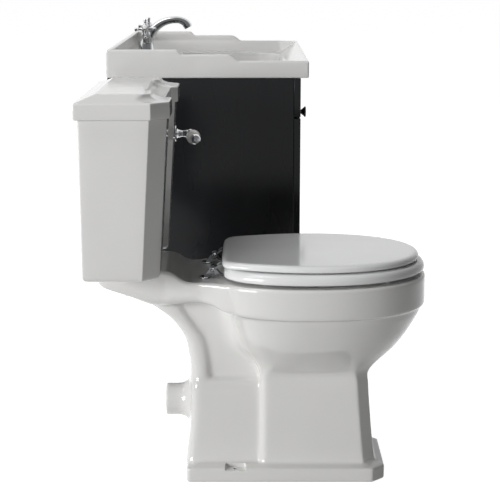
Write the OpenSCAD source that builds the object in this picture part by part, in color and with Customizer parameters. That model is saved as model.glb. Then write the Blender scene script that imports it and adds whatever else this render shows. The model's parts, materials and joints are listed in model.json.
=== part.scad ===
// Close-coupled toilet and wall-hung basin unit.
// X runs to the user's right, Y runs to the wall (the wall is Y = 0), Z runs up from the floor.
// X = 0 is the toilet's centre line.

/* [Pan] */
// Height of the pan's rim
rim_z = 424; // [400:1:450]
// Wall to the front of the rim
pan_front = 691; // [660:1:720]
// Width of the rim
pan_w = 380; // [350:1:400]
// Width of the rim's flat top
rim_flat = 36; // [28:1:44]
// Height of the rim's outer band
rim_band = 63; // [45:1:75]
// Height of the shelf that carries the cistern
shelf_z = 443; // [430:1:465]
// Width of the shelf
shelf_w = 202; // [180:1:220]
// Wall to the back edge of the shelf
shelf_back = 29; // [20:1:40]
// Width of the column at its foot
column_w = 168; // [150:1:180]
// Wall to the front of the column
column_front = 577; // [560:1:590]
// Corner cut of the column
column_cut = 24; // [10:1:32]
// Width of the plinth foot
foot_w = 212; // [200:1:230]
// Wall to the front of the plinth foot
foot_front = 609; // [600:1:620]
// Wall to the back of the plinth foot
foot_back = 202; // [190:1:210]
// Height of the plinth foot's side
foot_h = 30; // [24:1:36]
// Corner cut of the plinth foot
foot_cut = 26; // [12:1:34]
// Outer diameter of the outlet spigot
outlet_d = 67; // [60:1:110]
// Bore of the outlet spigot
outlet_bore = 54; // [46:1:58]
// Height of the outlet's centre
outlet_z = 146; // [135:1:185]
// Wall to the mouth of the outlet
outlet_back = 157; // [150:1:170]
// Distance between the floor screws
floor_screw_gap = 184; // [178:1:188]
// Wall to the floor screws
floor_screw_y = 302; // [290:1:315]
// Diameter of the floor screw holes
floor_screw_d = 9; // [7:0.5:11]

/* [Cistern] */
// Width of the tank at its top
tank_w = 443; // [430:1:450]
// How much narrower each side of the tank is at its foot
tank_taper = 15; // [5:1:20]
// Wall to the back of the tank
tank_back = 12.5; // [10:0.5:16]
// Wall to the front of the corner pilasters at the tank's top
tank_front = 176; // [170:1:178]
// How far the tank's front leans back towards its foot
tank_lean = 19; // [8:1:24]
// Thickness of the tank's walls
tank_wall = 12; // [9:0.5:14]
// Height of the tank's open top
tank_top = 769.7; // [765:0.1:772]
// Corner cut of the tank
tank_cut = 31.5; // [20:0.5:36]
// Depth of the recess between the pilasters
recess = 12; // [8:1:14]
// Centre line to the inner edge of each pilaster
pilaster_x = 107; // [100:1:115]
// Width of the cistern lid
lid_w = 462; // [456:1:470]
// Wall to the front of the cistern lid
lid_front = 181.5; // [180:0.5:190]
// Corner cut of the cistern lid
lid_cut = 34; // [25:1:38]
// Height of the cistern lid's band
lid_band = 31.5; // [25:0.5:36]
// Height of the slope above the band
lid_rise = 14; // [8:1:18]
// Width of the slope above the band
lid_slope = 38; // [25:1:42]

/* [Flush gear] */
// Centre of the outlet and its bolts, from the wall
coupling_y = 85; // [80:1:90]
// Distance from the centre line to each coupling bolt
coupling_x = 75; // [70:1:80]
// Diameter of the coupling bolts
coupling_d = 8; // [6:1:9]
// Outer diameter of the flush valve's tail
tail_d = 42; // [36:1:44]
// Outer diameter of the nut on that tail
back_nut_d = 52; // [50:1:54]
// Outer diameter of the coupling washer
washer_d = 68; // [64:1:74]
// Depth of the seat for that washer in the shelf
washer_deep = 9; // [9:0.5:14]
// Bore of the water way below it
way_d = 54; // [53:1:56]
// Diameter of the flush piston's rod
piston_rod_d = 10; // [7:0.5:12]
// Side of the tank to the middle of the fill valve
fill_in = 69.5; // [62:0.5:76]
// Outer diameter of the fill valve's inlet thread
inlet_d = 20.8; // [20:0.1:21.4]
// Side of the tank to the lever
lever_in = 71.5; // [66:0.5:74]
// Height of the lever's spindle
lever_z = 686; // [680:1:690]
// Diameter of the lever's spindle
spindle_d = 9; // [7:0.5:11]
// Reach of the lever's inner arm, which pulls the cable
cable_arm = 34; // [30:1:38]
// Wall to the lever's outer hub
hub_y = 206; // [202:1:212]
// Turn of the lever's grip towards the front, in degrees
arm_turn = 10; // [0:1:20]
// Fall of the lever's grip, in degrees
arm_fall = 2; // [0:1:10]

/* [Seat] */
// Width of the seat ring
ring_w = 369; // [350:1:376]
// Wall to the front of the seat ring
ring_front = 689; // [670:1:690]
// Wall to the back of the seat ring
ring_back = 279; // [274:1:286]
// Thickness of the seat ring
ring_t = 21; // [16:1:22]
// Width of the seat ring's band
ring_band = 66; // [55:1:72]
// Gap under the ring, which the buffers fill
buffer_h = 6; // [4:0.5:7]
// Width of the seat lid
cover_w = 346; // [330:1:360]
// Wall to the front of the seat lid
cover_front = 677; // [660:1:680]
// Wall to the back of the seat lid
cover_back = 275.5; // [272:0.5:282]
// Thickness of the seat lid
cover_t = 14; // [11:1:16]
// Gap between the ring and the lid
cover_gap = 2.5; // [2:0.5:4]
// Distance from the centre line to each hinge
hinge_x = 71; // [68:1:76]
// Wall to the hinge pin
hinge_y = 258; // [256:1:260]
// Wall to the bolt of each hinge
post_y = 243; // [241:1:246]
// Diameter of each hinge's bolt
post_bolt_d = 6; // [5:0.5:8]
// Height of the hinge pin above the rim
hinge_up = 18; // [16:1:20]
// Diameter of the hinge pin
hinge_pin_d = 6; // [5:0.5:7]

/* [Basin] */
// Centre line of the toilet to the near side of the basin
basin_x = 436; // [300:1:500]
// Width of the basin
basin_w = 800; // [760:1:900]
// Depth of the basin from the wall to its front
basin_d = 469; // [460:1:480]
// Height of the basin's underside
basin_z = 779; // [760:1:800]
// Height of the basin's front above its underside
basin_front_h = 39.5; // [36:0.5:44]
// Height of the middle step above the underside
basin_mid_h = 54.5; // [50:0.5:60]
// Height of the rear upstand above the underside
basin_back_h = 65.5; // [62:0.5:75]
// Thickness of the upstand
upstand_t = 13; // [10:1:16]
// Height of the inner ledge above the underside
ledge_h = 12; // [10:1:14]
// Depth of the bowl below the ledge
bowl_depth = 118; // [90:1:130]
// Thickness of the bowl's wall
bowl_wall = 11; // [8:1:14]
// Wall to the tap's centre line
tap_y = 66; // [60:1:70]
// Wall to the centre of the waste
waste_y = 262; // [255:1:270]
// Outer diameter of the waste pipe
pipe_d = 32; // [30:1:34]

/* [Tap] */
// Diameter of the tap's foot
tap_d = 48; // [42:1:52]
// Height of the cross-heads above the ledge
cross_up = 83; // [80:1:88]
// Tap's centre to the middle of each cross-head
cross_out = 62; // [60:1:66]
// Tilt of the cross-heads' axes above the level, in degrees
cross_tilt = 30; // [20:1:36]
// Diameter of the valve spindles
valve_d = 8; // [7:0.5:10]

/* [Cabinet] */
// How far the cabinet stands in from the basin's sides
cabinet_in = 2; // [1:1:8]
// Wall to the front of the cabinet's sides
cabinet_d = 434; // [420:1:440]
// Height of the cabinet
cabinet_h = 459.7; // [430:0.1:480]
// Thickness of the boards
board = 16; // [15:1:19]
// Height of the fixed top front
fascia_h = 91; // [80:1:100]
// Gap round the drawer's front
front_gap = 3; // [2:0.5:4]
// Height of the drawer's box
drawer_h = 190; // [140:5:200]
// Width of the cut-out for the trap in the drawer
notch_w = 150; // [130:5:180]
// Wall to the front of that cut-out
notch_y = 322; // [315:1:330]
// Diameter of the drawer's knob
knob_d = 27.5; // [22:0.5:32]
// Top edge of the drawer's front to the knob's centre
knob_down = 27; // [24:1:40]

/* [Hidden] */
$fn = 48;
white = "#F1F1EE";
chrome = "#C9CCD0";
black = "#26282A";
grey = "#8C8F92";
brass = "#B5934D";
face = 0.3;
slip = 0.05;
half_turn = tan(22.5);
bolt_pad_z = 405;
hinge_pad_z = 392;
// Pockets under the shelf round the wing nuts and the hinge nuts
wing_room = [26, 42];
hinge_room = 30;
rim_c = 445;
hinge_z = rim_z + hinge_up;
ring_z = rim_z + buffer_h;
cover_z = ring_z + ring_t + cover_gap;
tank_z = shelf_z + 1;
tank_floor = tank_z + 14;
lid_z = tank_top - 12.2;
fill_x = tank_w / 2 - fill_in;
lever_x = tank_w / 2 - lever_in;
plateau_z = lid_z + lid_band + lid_rise;
basin_mid = basin_x + basin_w / 2;
ledge_z = basin_z + ledge_h;
bowl_z = ledge_z - bowl_depth;
cabinet_x = basin_x + cabinet_in;
cabinet_w = basin_w - 2 * cabinet_in;
cabinet_top = basin_z - face;
cabinet_z = cabinet_top - cabinet_h;
front_back = cabinet_d + face;
fascia_z = cabinet_top - fascia_h;
drawer_top = fascia_z - front_gap;
drawer_z = cabinet_z + board + 12;
bowl_run = cabinet_d - 18 - waste_y;
branch_z = ledge_z + cross_up - cross_out * tan(cross_tilt);
cross_reach = cross_out / cos(cross_tilt);
round_n = 40;
fine_n = 48;

// Half of a superellipse power, keeping the sign
function pw(v, n) = sign(v) * pow(abs(v), 2 / n);
// Closed oval: w half width, f and b distances from the wall, c its widest place, n and m powers
function oval(w, f, b, c, n, m, count) = [
    for (i = [0 : count - 1])
        let (t = 360 * i / count, s = sin(t))
            s < 0 ? [w * pw(cos(t), n), -c + (f - c) * pw(s, n)]
                  : [w * pw(cos(t), m), -c + (c - b) * pw(s, 2)]
];
// Closed rounded box about its own middle: n is the squareness, cut the corner cut
function boxed(w, f, b, n, cut, count) = [
    for (i = [0 : count - 1])
        let (t = 360 * i / count,
             l = (f - b) / 2,
             x = w * pw(cos(t), n),
             y = l * pw(sin(t), n),
             over = max(0, abs(x) + abs(y) - (w + l - cut)))
            [x - sign(x) * over / 2, y - sign(y) * over / 2 - (f + b) / 2]
];
function at(points, z) = [for (p = points) [p[0], p[1], z]];
function middle(points) = [for (k = [0 : 2]) [for (p = points) p[k]] * [for (p = points) 1] / len(points)];
// Outline with cut corners, two pilasters and a recess between them, moved in by i all round
function pilastered(w, back, front, cut, nose, deep, i) = [
    [-w + i, -back],
    [-w + i, -(front - cut) + i * half_turn],
    [-w + cut + i * half_turn, -front + i],
    [-nose - i * half_turn, -front + i],
    [-nose + deep - i * half_turn, -front + deep + i],
    [nose - deep + i * half_turn, -front + deep + i],
    [nose + i * half_turn, -front + i],
    [w - cut - i * half_turn, -front + i],
    [w - i, -(front - cut) + i * half_turn],
    [w - i, -back]
];

// Closed skin through a list of rings, each with as many points, with a fan at both ends.
// The fan's centre is the ring's middle, or lies at Y = eye where the ring has a recess.
module loft(rings, eye = 0) {
    n = len(rings[0]);
    m = len(rings);
    hubs = [for (r = [rings[0], rings[m - 1]]) let (c = middle(r)) [c[0], eye == 0 ? c[1] : eye, c[2]]];
    points = concat([for (r = rings) each r], hubs);
    sides = [
        for (i = [0 : m - 2], j = [0 : n - 1])
            let (a = i * n + j, b = i * n + (j + 1) % n, c = b + n, d = a + n)
                each [[a, d, c], [a, c, b]]
    ];
    ends = [
        for (j = [0 : n - 1])
            let (k = (j + 1) % n)
                each [[n * m, j, k], [n * m + 1, (m - 1) * n + k, (m - 1) * n + j]]
    ];
    polyhedron(points = points, faces = concat(sides, ends), convexity = 10);
}

// Closed band through rings whose last joins the first
module hoop(rings) {
    n = len(rings[0]);
    m = len(rings);
    faces = [
        for (i = [0 : m - 1], j = [0 : n - 1])
            let (k = (i + 1) % m,
                 a = i * n + j, b = i * n + (j + 1) % n, c = k * n + (j + 1) % n, d = k * n + j)
                each [[a, d, c], [a, c, b]]
    ];
    polyhedron(points = [for (r = rings) each r], faces = faces, convexity = 10);
}

// Cylinder from the wall side to the front, along -Y
module rod_y(d, y1, y2) translate([0, -y1, 0]) rotate([90, 0, 0]) cylinder(d = d, h = y2 - y1);
module pair(x) for (s = [-1, 1]) translate([s * x, 0, 0]) children();
module hex(af, h) cylinder(d = af / cos(30), h = h, $fn = 6);

// Outer skin of the bowl and column: height, half width, front, back, squareness, corner cut
bowl_skin = [
    [foot_h - 4, column_w / 2, column_front + 15, 352, 9, column_cut],
    [60, column_w / 2 - 1.5, column_front + 10, 353, 9, column_cut],
    [110, column_w / 2 - 3, column_front + 5, 354, 9, column_cut],
    [165, column_w / 2 - 4, column_front + 1.5, 354, 9, column_cut],
    [204, column_w / 2 - 4, column_front, 354, 9, column_cut],
    [218, column_w / 2 - 1, column_front + 4, 350, 6, column_cut + 4],
    [232, column_w / 2 + 8, column_front + 18, 344, 4, column_cut + 14]
];
// The bowl above the column, as ovals: height, half width, front, back
bowl_upper = [
    [250, 106, column_front + 38, 333, 2.5],
    [275, 128, 636, 315, 2.35],
    [300, 148, 655, 306, 2.3],
    [325, 163, 670, 300, 2.25],
    [345, 174, 680, 294, 2.25],
    [rim_z - rim_band - 1.5, pan_w / 2 - 9, pan_front - 6, 287, 2.25],
    [rim_z - rim_band, pan_w / 2 - 3, pan_front - 1.5, 278, 2.25],
    [rim_z - rim_band + 4, pan_w / 2 - 0.5, pan_front, 272, 2.25],
    [rim_z - 7, pan_w / 2, pan_front, 262, 2.25],
    [rim_z - 2, pan_w / 2 - 1.5, pan_front - 1.5, 263, 2.25],
    [rim_z, pan_w / 2 - 5, pan_front - 5, 266, 2.25]
];
// The inside of the bowl: over the rim's lip, out under it, and down to the sump
bowl_inside = [
    [rim_z, pan_w / 2 - rim_flat + 3, pan_front - rim_flat + 1, 336, 2.2],
    [rim_z - 4, pan_w / 2 - rim_flat, pan_front - rim_flat - 2, 339, 2.2],
    [rim_z - 32, pan_w / 2 - rim_flat - 1, pan_front - rim_flat - 3, 340, 2.2],
    [rim_z - 37, pan_w / 2 - 26, pan_front - 26, 332, 2.25],
    [rim_z - 52, pan_w / 2 - 27, pan_front - 27, 332, 2.25],
    [340, 152, 652, 338, 2.2],
    [300, 131, 632, 346, 2.2],
    [260, 102, 594, 354, 2.2],
    [228, 72, 546, 361, 2.2],
    [202, 53, 502, 366, 2.2],
    [182, 42, 474, 368, 2.2],
    [176, 34, 460, 376, 2.2]
];

module bowl_and_column() {
    c = rim_c;
    skin = [for (r = bowl_skin) at(boxed(r[1], r[2], r[3], r[4], r[5], round_n), r[0])];
    upper = [for (r = bowl_upper) at(oval(r[1], r[2], r[3], c, r[4], 4.6, round_n), r[0])];
    inside = [for (r = bowl_inside) at(oval(r[1], r[2], r[3], c, r[4], 2.4, round_n), r[0])];
    loft(concat(skin, upper, inside));
}

// Cross-section of the shelf and neck: distance from the wall, half width, top, foot of its side, underside
neck_ribs = [
    [shelf_back, shelf_w / 2 - 4, shelf_z, 422, 403],
    [shelf_back + 25, shelf_w / 2, shelf_z, 402, 389],
    [90, shelf_w / 2, shelf_z, 392, 376],
    [130, shelf_w / 2, shelf_z, 388, 362],
    [159, shelf_w / 2 + 1, shelf_z - 0.5, 390, 360],
    [170, shelf_w / 2 + 3, shelf_z - 2, 392, 361],
    [181, shelf_w / 2 + 5, shelf_z - 6.5, 395, 362],
    [190, shelf_w / 2 + 7, shelf_z - 12.5, 397, 363],
    [200, shelf_w / 2 + 9, shelf_z - 18.5, 399, 364],
    [212, shelf_w / 2 + 12, rim_z - 2.5, 401, 365],
    [237, shelf_w / 2 + 18, rim_z - 1, 400, 366],
    [257, shelf_w / 2 + 27, rim_z - 0.6, 391, 365],
    [280, shelf_w / 2 + 39, rim_z - 0.4, 374, 361],
    [300, shelf_w / 2 + 48, rim_z - 0.4, 368, 360]
];
// Ring at distance y from the wall: rounded top edges, sides down to mid, a belly down to low
function rib(y, w, top, mid, low, r) = concat(
    [for (k = [0 : 3]) [-w + r - r * sin(30 * k), -y, top - r + r * cos(30 * k)]],
    [for (k = [0 : 9]) let (a = 20 * k) [-w * pw(cos(a), 2.6), -y, mid - (mid - low) * pw(sin(a), 2.6)]],
    [for (k = [3 : -1 : 0]) [w - r + r * sin(30 * k), -y, top - r + r * cos(30 * k)]]
);
module neck() loft([for (r = neck_ribs) rib(r[0], r[1], r[2], r[3], r[4], 7)]);

// Trap tube under the neck: height, half width, back, front
trap_tube = [
    [376, 58, 128, 200],
    [356, 57, 152, 208],
    [344, 56, 161, 213],
    [330, 55, 175, 221],
    [312, 55, 188, 234],
    [296, 55, 198, 245],
    [277, 55, 205, 251],
    [242, 56, 210, 256],
    [216, 58, 211, 258],
    [190, 60, 209, 262]
];
module tube() {
    n = len(trap_tube) - 1;
    loft([for (i = [n : -1 : 0]) let (t = trap_tube[i]) at(boxed(t[1], t[3], t[2], 2.6, 0, 24), t[0])]);
}

// Casing behind the column, over the outlet: height, half width, back, front
rear_casing = [
    [foot_h - 4, 78, 199, 376],
    [70, 74, 204, 374],
    [100, 72, 209, 372],
    [146, 69, 211, 370],
    [180, 66, 212, 368],
    [198, 60, 214, 364],
    [208, 50, 220, 358]
];
module casing() loft([for (r = rear_casing) at(boxed(r[1], r[3], r[2], 5, 0, 28), r[0])]);

module foot() {
    mid = (foot_front + foot_back) / 2;
    half = (foot_front - foot_back) / 2;
    x = foot_w / 2;
    ring = function (i) [
        [-x + i, half - i], [-x + i, -half + foot_cut + i * half_turn],
        [-x + foot_cut + i * half_turn, -half + i], [x - foot_cut - i * half_turn, -half + i],
        [x - i, -half + foot_cut + i * half_turn], [x - i, half - i]
    ];
    translate([0, -mid, 0])
        loft([at(ring(0), 0), at(ring(0), foot_h - 1.5), at(ring(1.5), foot_h), at(ring(19), foot_h + 2.5)]);
}

// Seat of the coupling washer, and the water way from the shelf to the rim
module flush_way() {
    translate([0, -coupling_y, shelf_z - washer_deep]) cylinder(d = washer_d + 2 * face, h = 30);
    translate([0, -coupling_y, shelf_z - 46]) cylinder(d = way_d, h = 50);
    translate([0, 0, rim_z - 22]) rod_y(24, coupling_y, 352);
}
// The two ends of the trap's water way: the outlet's bore with its riser, and the mouth in the sump
module trap_way() {
    bend = 232;
    over = 96;
    run = 378 - bend;
    fall = 52;
    dam = 100;
    translate([0, 0, outlet_z]) rod_y(outlet_bore, outlet_back - 1, bend + 22);
    translate([0, -bend, outlet_z]) cylinder(d = 38, h = over + 12);
    translate([0, -bend + 6, outlet_z + over]) rotate([90 + atan(fall / run), 0, 0])
        translate([0, 0, dam]) cylinder(d = 36, h = norm([run + 6, fall]) - dam);
}
// Hollows of the casting, open to the floor
module casting_hollows() {
    n = 28;
    loft([
        at(boxed(column_w / 2 - 14, column_front - 2, 372, 6, 12, n), -1),
        at(boxed(column_w / 2 - 17, column_front - 14, 374, 6, 14, n), 150),
        at(boxed(column_w / 2 - 34, column_front - 34, 388, 4, 20, n), 160)
    ]);
    translate([-56, -352, -1]) cube([112, 130, 98]);
}
module screw_pockets() {
    pair(floor_screw_gap / 2) translate([0, -floor_screw_y, 0]) {
        translate([0, 0, -1]) cylinder(d = floor_screw_d, h = foot_h);
        translate([-10, -21, foot_h - 11]) cube([40, 42, 40]);
    }
}
module pan() color(white) difference() {
    union() {
        bowl_and_column();
        neck();
        tube();
        casing();
        translate([-40, -366, 150]) cube([80, 130, 218]);
        foot();
        translate([0, 0, outlet_z]) {
            rod_y(outlet_d, outlet_back, 236);
            rod_y(outlet_d + 7, 200, 236);
        }
    }
    screw_pockets();
    casting_hollows();
    trap_way();
    flush_way();
    pair(coupling_x) translate([0, -coupling_y, 0]) {
        translate([0, 0, 350]) cylinder(d = coupling_d + 4, h = 110);
        translate([-wing_room[0] / 2, -wing_room[1] / 2, bolt_pad_z - 50]) cube([wing_room[0], wing_room[1], 50]);
    }
    pair(hinge_x) translate([0, -post_y, 0]) {
        translate([0, 0, 340]) cylinder(d = post_bolt_d + 2, h = 100);
        translate([0, 0, hinge_pad_z - 32]) cylinder(d = hinge_room, h = 32);
    }
}

// Tank: open box with a tapered, pilastered outline
function tank_ring(z, i) =
    let (t = (tank_top - z) / (tank_top - tank_z))
        at(pilastered(tank_w / 2 - tank_taper * t, tank_back + i, tank_front - tank_lean * t,
                      tank_cut, pilaster_x, recess, i), z);
module cistern_body() color(white) difference() {
    loft([tank_ring(tank_z, 4), tank_ring(tank_z + 4, 0), tank_ring(tank_top, 0)], -tank_back - 8);
    loft([tank_ring(tank_floor, tank_wall), tank_ring(tank_top + 1, tank_wall)], -tank_back - tank_wall - 4);
    translate([0, -coupling_y, tank_z - 1]) {
        cylinder(d = tail_d + 2, h = 30);
        pair(coupling_x) cylinder(d = coupling_d + 2, h = 30);
        translate([fill_x, 0, 0]) cylinder(d = inlet_d + 4, h = 30);
    }
    translate([lever_x, 0, lever_z]) rod_y(22, 120, 200);
}

module cistern_lid() color(white) difference() {
    w = lid_w / 2;
    rise = function (i, z) at(pilastered(w, 3, lid_front, lid_cut, pilaster_x + 2, recess + 1, i), z);
    fit = pilastered(tank_w / 2 + 1.5, tank_back - 1.5, tank_front + 1.5, tank_cut, pilaster_x, recess, 0);
    top = lid_z + lid_band;
    loft([
        rise(0.5, lid_z), rise(0, lid_z + 1.5), rise(0, top - 2), rise(2, top - 0.2), rise(9, top),
        rise(18, top + 0.18 * lid_rise), rise(28, top + 0.55 * lid_rise),
        rise(lid_slope, plateau_z - 1), rise(lid_slope + 2, plateau_z)
    ], -9);
    loft([at(fit, lid_z - 1), at(fit, tank_top + face)], -tank_back - 4);
    translate([0, 0, tank_top - 0.5]) linear_extrude(8)
        polygon(pilastered(tank_w / 2, tank_back + 20, tank_front, tank_cut, pilaster_x, recess, 20));
}

module doughnut_washer() color(black) translate([0, -coupling_y, shelf_z - washer_deep + face]) difference() {
    cylinder(d = washer_d, h = tank_z - shelf_z + washer_deep - 2 * face);
    translate([0, 0, -1]) cylinder(d = back_nut_d + 2 * face, h = 20);
}
module coupling_bolts() color(brass) pair(coupling_x) translate([0, -coupling_y, 0]) {
    translate([0, 0, bolt_pad_z - 18]) cylinder(d = coupling_d, h = tank_floor + 4 - bolt_pad_z + 18);
    translate([0, 0, tank_floor + 3.3]) cylinder(d = 18, h = 3);
}
module coupling_washers() color(black) pair(coupling_x) translate([0, -coupling_y, tank_floor + face])
    difference() {
        cylinder(d = 24, h = 3 - face);
        translate([0, 0, -1]) cylinder(d = coupling_d + 2 * slip, h = 5);
    }
module coupling_wing_nuts() color(brass) pair(coupling_x) translate([0, -coupling_y, bolt_pad_z - face - 13]) {
    difference() {
        union() {
            cylinder(d = 17, h = 13);
            for (s = [-1, 1]) rotate([0, 0, 90]) translate([s * 12 - 5, -1.5, 0]) cube([10, 3, 11]);
        }
        translate([0, 0, -1]) cylinder(d = coupling_d + 2 * slip, h = 20);
    }
}

// Flush valve: threaded tail through the tank's floor, cage, bridge for the cable, and overflow
cage_z = tank_floor + 3;
cage_h = 60;
bridge_z = 598;
module flush_valve_body() color(white) translate([0, -coupling_y, 0]) difference() {
    union() {
        translate([0, 0, shelf_z - 14]) cylinder(d = tail_d, h = cage_z - shelf_z + 14);
        translate([0, 0, tank_floor + face]) cylinder(d = 62, h = 5);
        for (a = [45 : 90 : 315]) rotate([0, 0, a]) translate([24, -3, cage_z + 1]) cube([5, 6, cage_h + 2]);
        translate([0, 0, cage_z + cage_h]) cylinder(d = 60, h = 6);
        for (s = [-1, 1]) translate([-4, s * 18 - 2.5, cage_z + cage_h + 3]) cube([8, 5, bridge_z - cage_z - cage_h]);
        translate([-7, -20.5, bridge_z]) cube([14, 41, 6]);
        translate([-36, 0, cage_z - 2]) cylinder(d = 20, h = 210);
    }
    translate([0, 0, shelf_z - 20]) cylinder(d = tail_d - 7, h = 60);
    translate([0, 0, cage_z + cage_h - 10]) cylinder(d = piston_rod_d + 2 * slip, h = 30);
    translate([0, 0, bridge_z - 5]) cylinder(d = 3, h = 20);
    translate([-36, 0, cage_z + 4]) cylinder(d = 15, h = 230);
}
module flush_valve_nut() color(grey) translate([0, -coupling_y, tank_z - face - 9]) difference() {
    cylinder(d = back_nut_d, h = 9);
    translate([0, 0, -1]) cylinder(d = tail_d + 2 * slip, h = 20);
}
module flush_piston() color(grey) translate([0, -coupling_y, 0]) {
    translate([0, 0, tank_floor + 5.6]) cylinder(d = 42, h = 6);
    translate([0, 0, tank_floor + 11]) cylinder(d = 30, h = 4);
    translate([0, 0, tank_floor + 14]) cylinder(d = piston_rod_d, h = 76);
}
module cable_clip() color(grey) translate([0, -coupling_y, tank_floor + 90.3]) difference() {
    union() {
        translate([-6, -6, 0]) cube([12, 12, 12]);
        cylinder(d = 8, h = 17);
    }
    translate([-7, -3, 6]) cube([14, 6, 3]);
}
// Sleeve of the pull cable: level from the lever, then down to the valve's bridge
cable_z = lever_z - cable_arm;
cable_bend = 32;
module cable_sleeve() color(black) translate([0, -coupling_y, 0])
    rotate([0, 0, -atan((cam_y + 4 - coupling_y) / lever_x)]) {
        run = norm([lever_x - 30, cam_y + 4 - coupling_y]);
        translate([cable_bend, 0, cable_z]) rotate([0, 90, 0]) cylinder(d = 6, h = run - cable_bend);
        translate([cable_bend, 0, cable_z - cable_bend]) rotate([90, 0, 0])
            rotate_extrude(angle = 90, start = 90) translate([cable_bend, 0]) circle(d = 6);
        translate([0, 0, bridge_z + 6 + face]) cylinder(d = 6, h = cable_z - cable_bend - bridge_z - 6 - face);
        translate([run - 8, 0, cable_z]) rotate([0, 90, 0]) cylinder(d = 9, h = 9);
    }

// Fill valve: column, inlet tail and the float that rides on it
module fill_valve() color(white) translate([fill_x, -coupling_y, 0]) {
    translate([0, 0, tank_z - 46]) cylinder(d = inlet_d, h = 37);
    translate([0, 0, tank_z - 10]) cylinder(d = inlet_d + 2, h = tank_floor - tank_z + 11);
    translate([0, 0, tank_floor + face]) cylinder(d = 36, h = 6);
    translate([0, 0, tank_floor + 5]) cylinder(d = 24, h = 216);
    translate([0, 0, tank_floor + 220]) cylinder(d = 34, h = 26);
}
module fill_valve_nut() color(grey) translate([fill_x, -coupling_y, tank_z - face - 8]) difference() {
    hex(32, 8);
    translate([0, 0, -1]) cylinder(d = inlet_d + 2 + 2 * slip, h = 10);
}
module float_cup() color(black) translate([fill_x, -coupling_y, tank_floor + 6.6 + face]) difference() {
    cylinder(d = 54, h = 60);
    translate([0, 0, -1]) cylinder(d = 24.8, h = 62);
    rotate_extrude() translate([16, 8]) square([8, 60]);
}

// Lever: boss on the pilaster, spindle, outer arm with its grip, inner crank
lean = tank_lean / (tank_top - tank_z);
nose_y = tank_front - lean * (tank_top - lever_z);
boss_y = nose_y + face + 18 * lean;
cam_y = nose_y - tank_wall - 31;
module lever_boss() color(chrome) translate([lever_x, 0, lever_z]) difference() {
    union() {
        rod_y(21.4, nose_y - tank_wall - 18, boss_y + 2);
        rotate([90, 0, 0]) rotate_extrude() polygon([
            [0, boss_y], [17, boss_y], [18, boss_y + 1.5], [17.4, boss_y + 3], [12, boss_y + 4.6],
            [9, boss_y + 8], [8.2, boss_y + 11], [0, boss_y + 11]
        ]);
    }
    rod_y(spindle_d + 2 * slip, 100, 220);
}
module lever_nut() color(grey) translate([lever_x, 0, lever_z]) difference() {
    translate([0, -(nose_y - tank_wall - face - 16 * lean), 0]) rotate([-90, 0, 0]) hex(30, 7);
    rod_y(21.4 + 2 * slip, 100, 220);
}
module along_grip() translate([lever_x, -hub_y, lever_z]) rotate([0, -90 - arm_fall, arm_turn]) children();
module flush_lever() color(chrome) {
    translate([lever_x, 0, lever_z]) {
        rod_y(spindle_d, cam_y - 1, hub_y);
        translate([0, -boss_y - 11.3, 0]) rotate([90, 0, 0]) rotate_extrude() polygon([
            [0, 0], [8, 0], [7, 3], [6.6, 6], [7.2, 10], [8, 14], [8, hub_y - boss_y - 11.3],
            [0, hub_y - boss_y - 11.3]
        ]);
    }
    along_grip() {
        sphere(d = 20);
        rotate_extrude() polygon([
            [0, 0], [7.5, 0], [7.2, 9], [6, 14], [7, 18], [10, 22], [10.4, 25], [3.5, 25], [3.5, 66],
            [8, 66], [10.6, 70], [10.8, 73], [8.6, 77], [4, 79.4], [0, 80]
        ]);
    }
}
module lever_grip() color(white) along_grip() rotate_extrude() polygon([
    [3.5 + slip, 25.2], [9.8, 25.2], [12.6, 29], [14.2, 34], [15, 40], [15.2, 46], [14.6, 53], [13, 60],
    [11, 65.8], [3.5 + slip, 65.8]
]);
module lever_cam() color(grey) translate([lever_x, 0, lever_z]) {
    difference() {
        rod_y(17, cam_y, cam_y + 9);
        rod_y(spindle_d + 2 * slip, cam_y - 1, cam_y + 12);
    }
    difference() {
        translate([-5, -cam_y - 7, -cable_arm - 5]) cube([10, 5, cable_arm - 2]);
        translate([0, 0, -cable_arm]) rod_y(3, cam_y - 1, cam_y + 12);
    }
}

// Seat
function seat_ring_line(i) = oval(ring_w / 2 - i, ring_front - i, ring_back + i, 455, 2.12, 5, fine_n);
function seat_hole_line(i) = oval(ring_w / 2 - ring_band - i, ring_front - ring_band - i,
                                  ring_back + ring_band + i, 470, 2.1, 2.4, fine_n);
module seat_ring() color(white) {
    t = ring_t;
    z = ring_z;
    section = concat(
        [at(seat_hole_line(-7), z), at(seat_ring_line(7), z), at(seat_ring_line(1.5), z + 2),
         at(seat_ring_line(0), z + 5), at(seat_ring_line(1), z + t * 0.5), at(seat_ring_line(5), z + t * 0.8),
         at(seat_ring_line(13), z + t)],
        [at(seat_hole_line(-13), z + t), at(seat_hole_line(-3), z + t * 0.7), at(seat_hole_line(0), z + t * 0.4)]
    );
    hoop(section);
}
module buffer_set(spots, z, h) for (p = spots) pair(p[0])
    translate([0, -p[1], z]) linear_extrude(h) hull() pair(6) circle(d = 9, $fn = 24);
module ring_buffers() color(white)
    buffer_set([[ring_w / 2 - 56.5, ring_back + 83], [ring_w / 2 - 72.5, ring_front - 85]],
               rim_z + face, buffer_h - 2 * face);
module seat_lid() color(white) {
    line = function (i) oval(cover_w / 2 - i, cover_front - i, cover_back + i, 458, 2.15, 5, fine_n);
    z = cover_z;
    loft([
        at(line(4), z), at(line(0.8), z + 1.5), at(line(0), z + 3.5), at(line(1), z + 0.6 * cover_t),
        at(line(4), z + 0.88 * cover_t), at(line(9), z + cover_t - 0.4), at(line(16), z + cover_t)
    ]);
}
module lid_buffers() color(white)
    buffer_set([[cover_w / 2 - 65, cover_front - 77], [cover_w / 2 - 51, cover_back + 96.5]],
               ring_z + ring_t + face, cover_gap - 2 * face);

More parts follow.
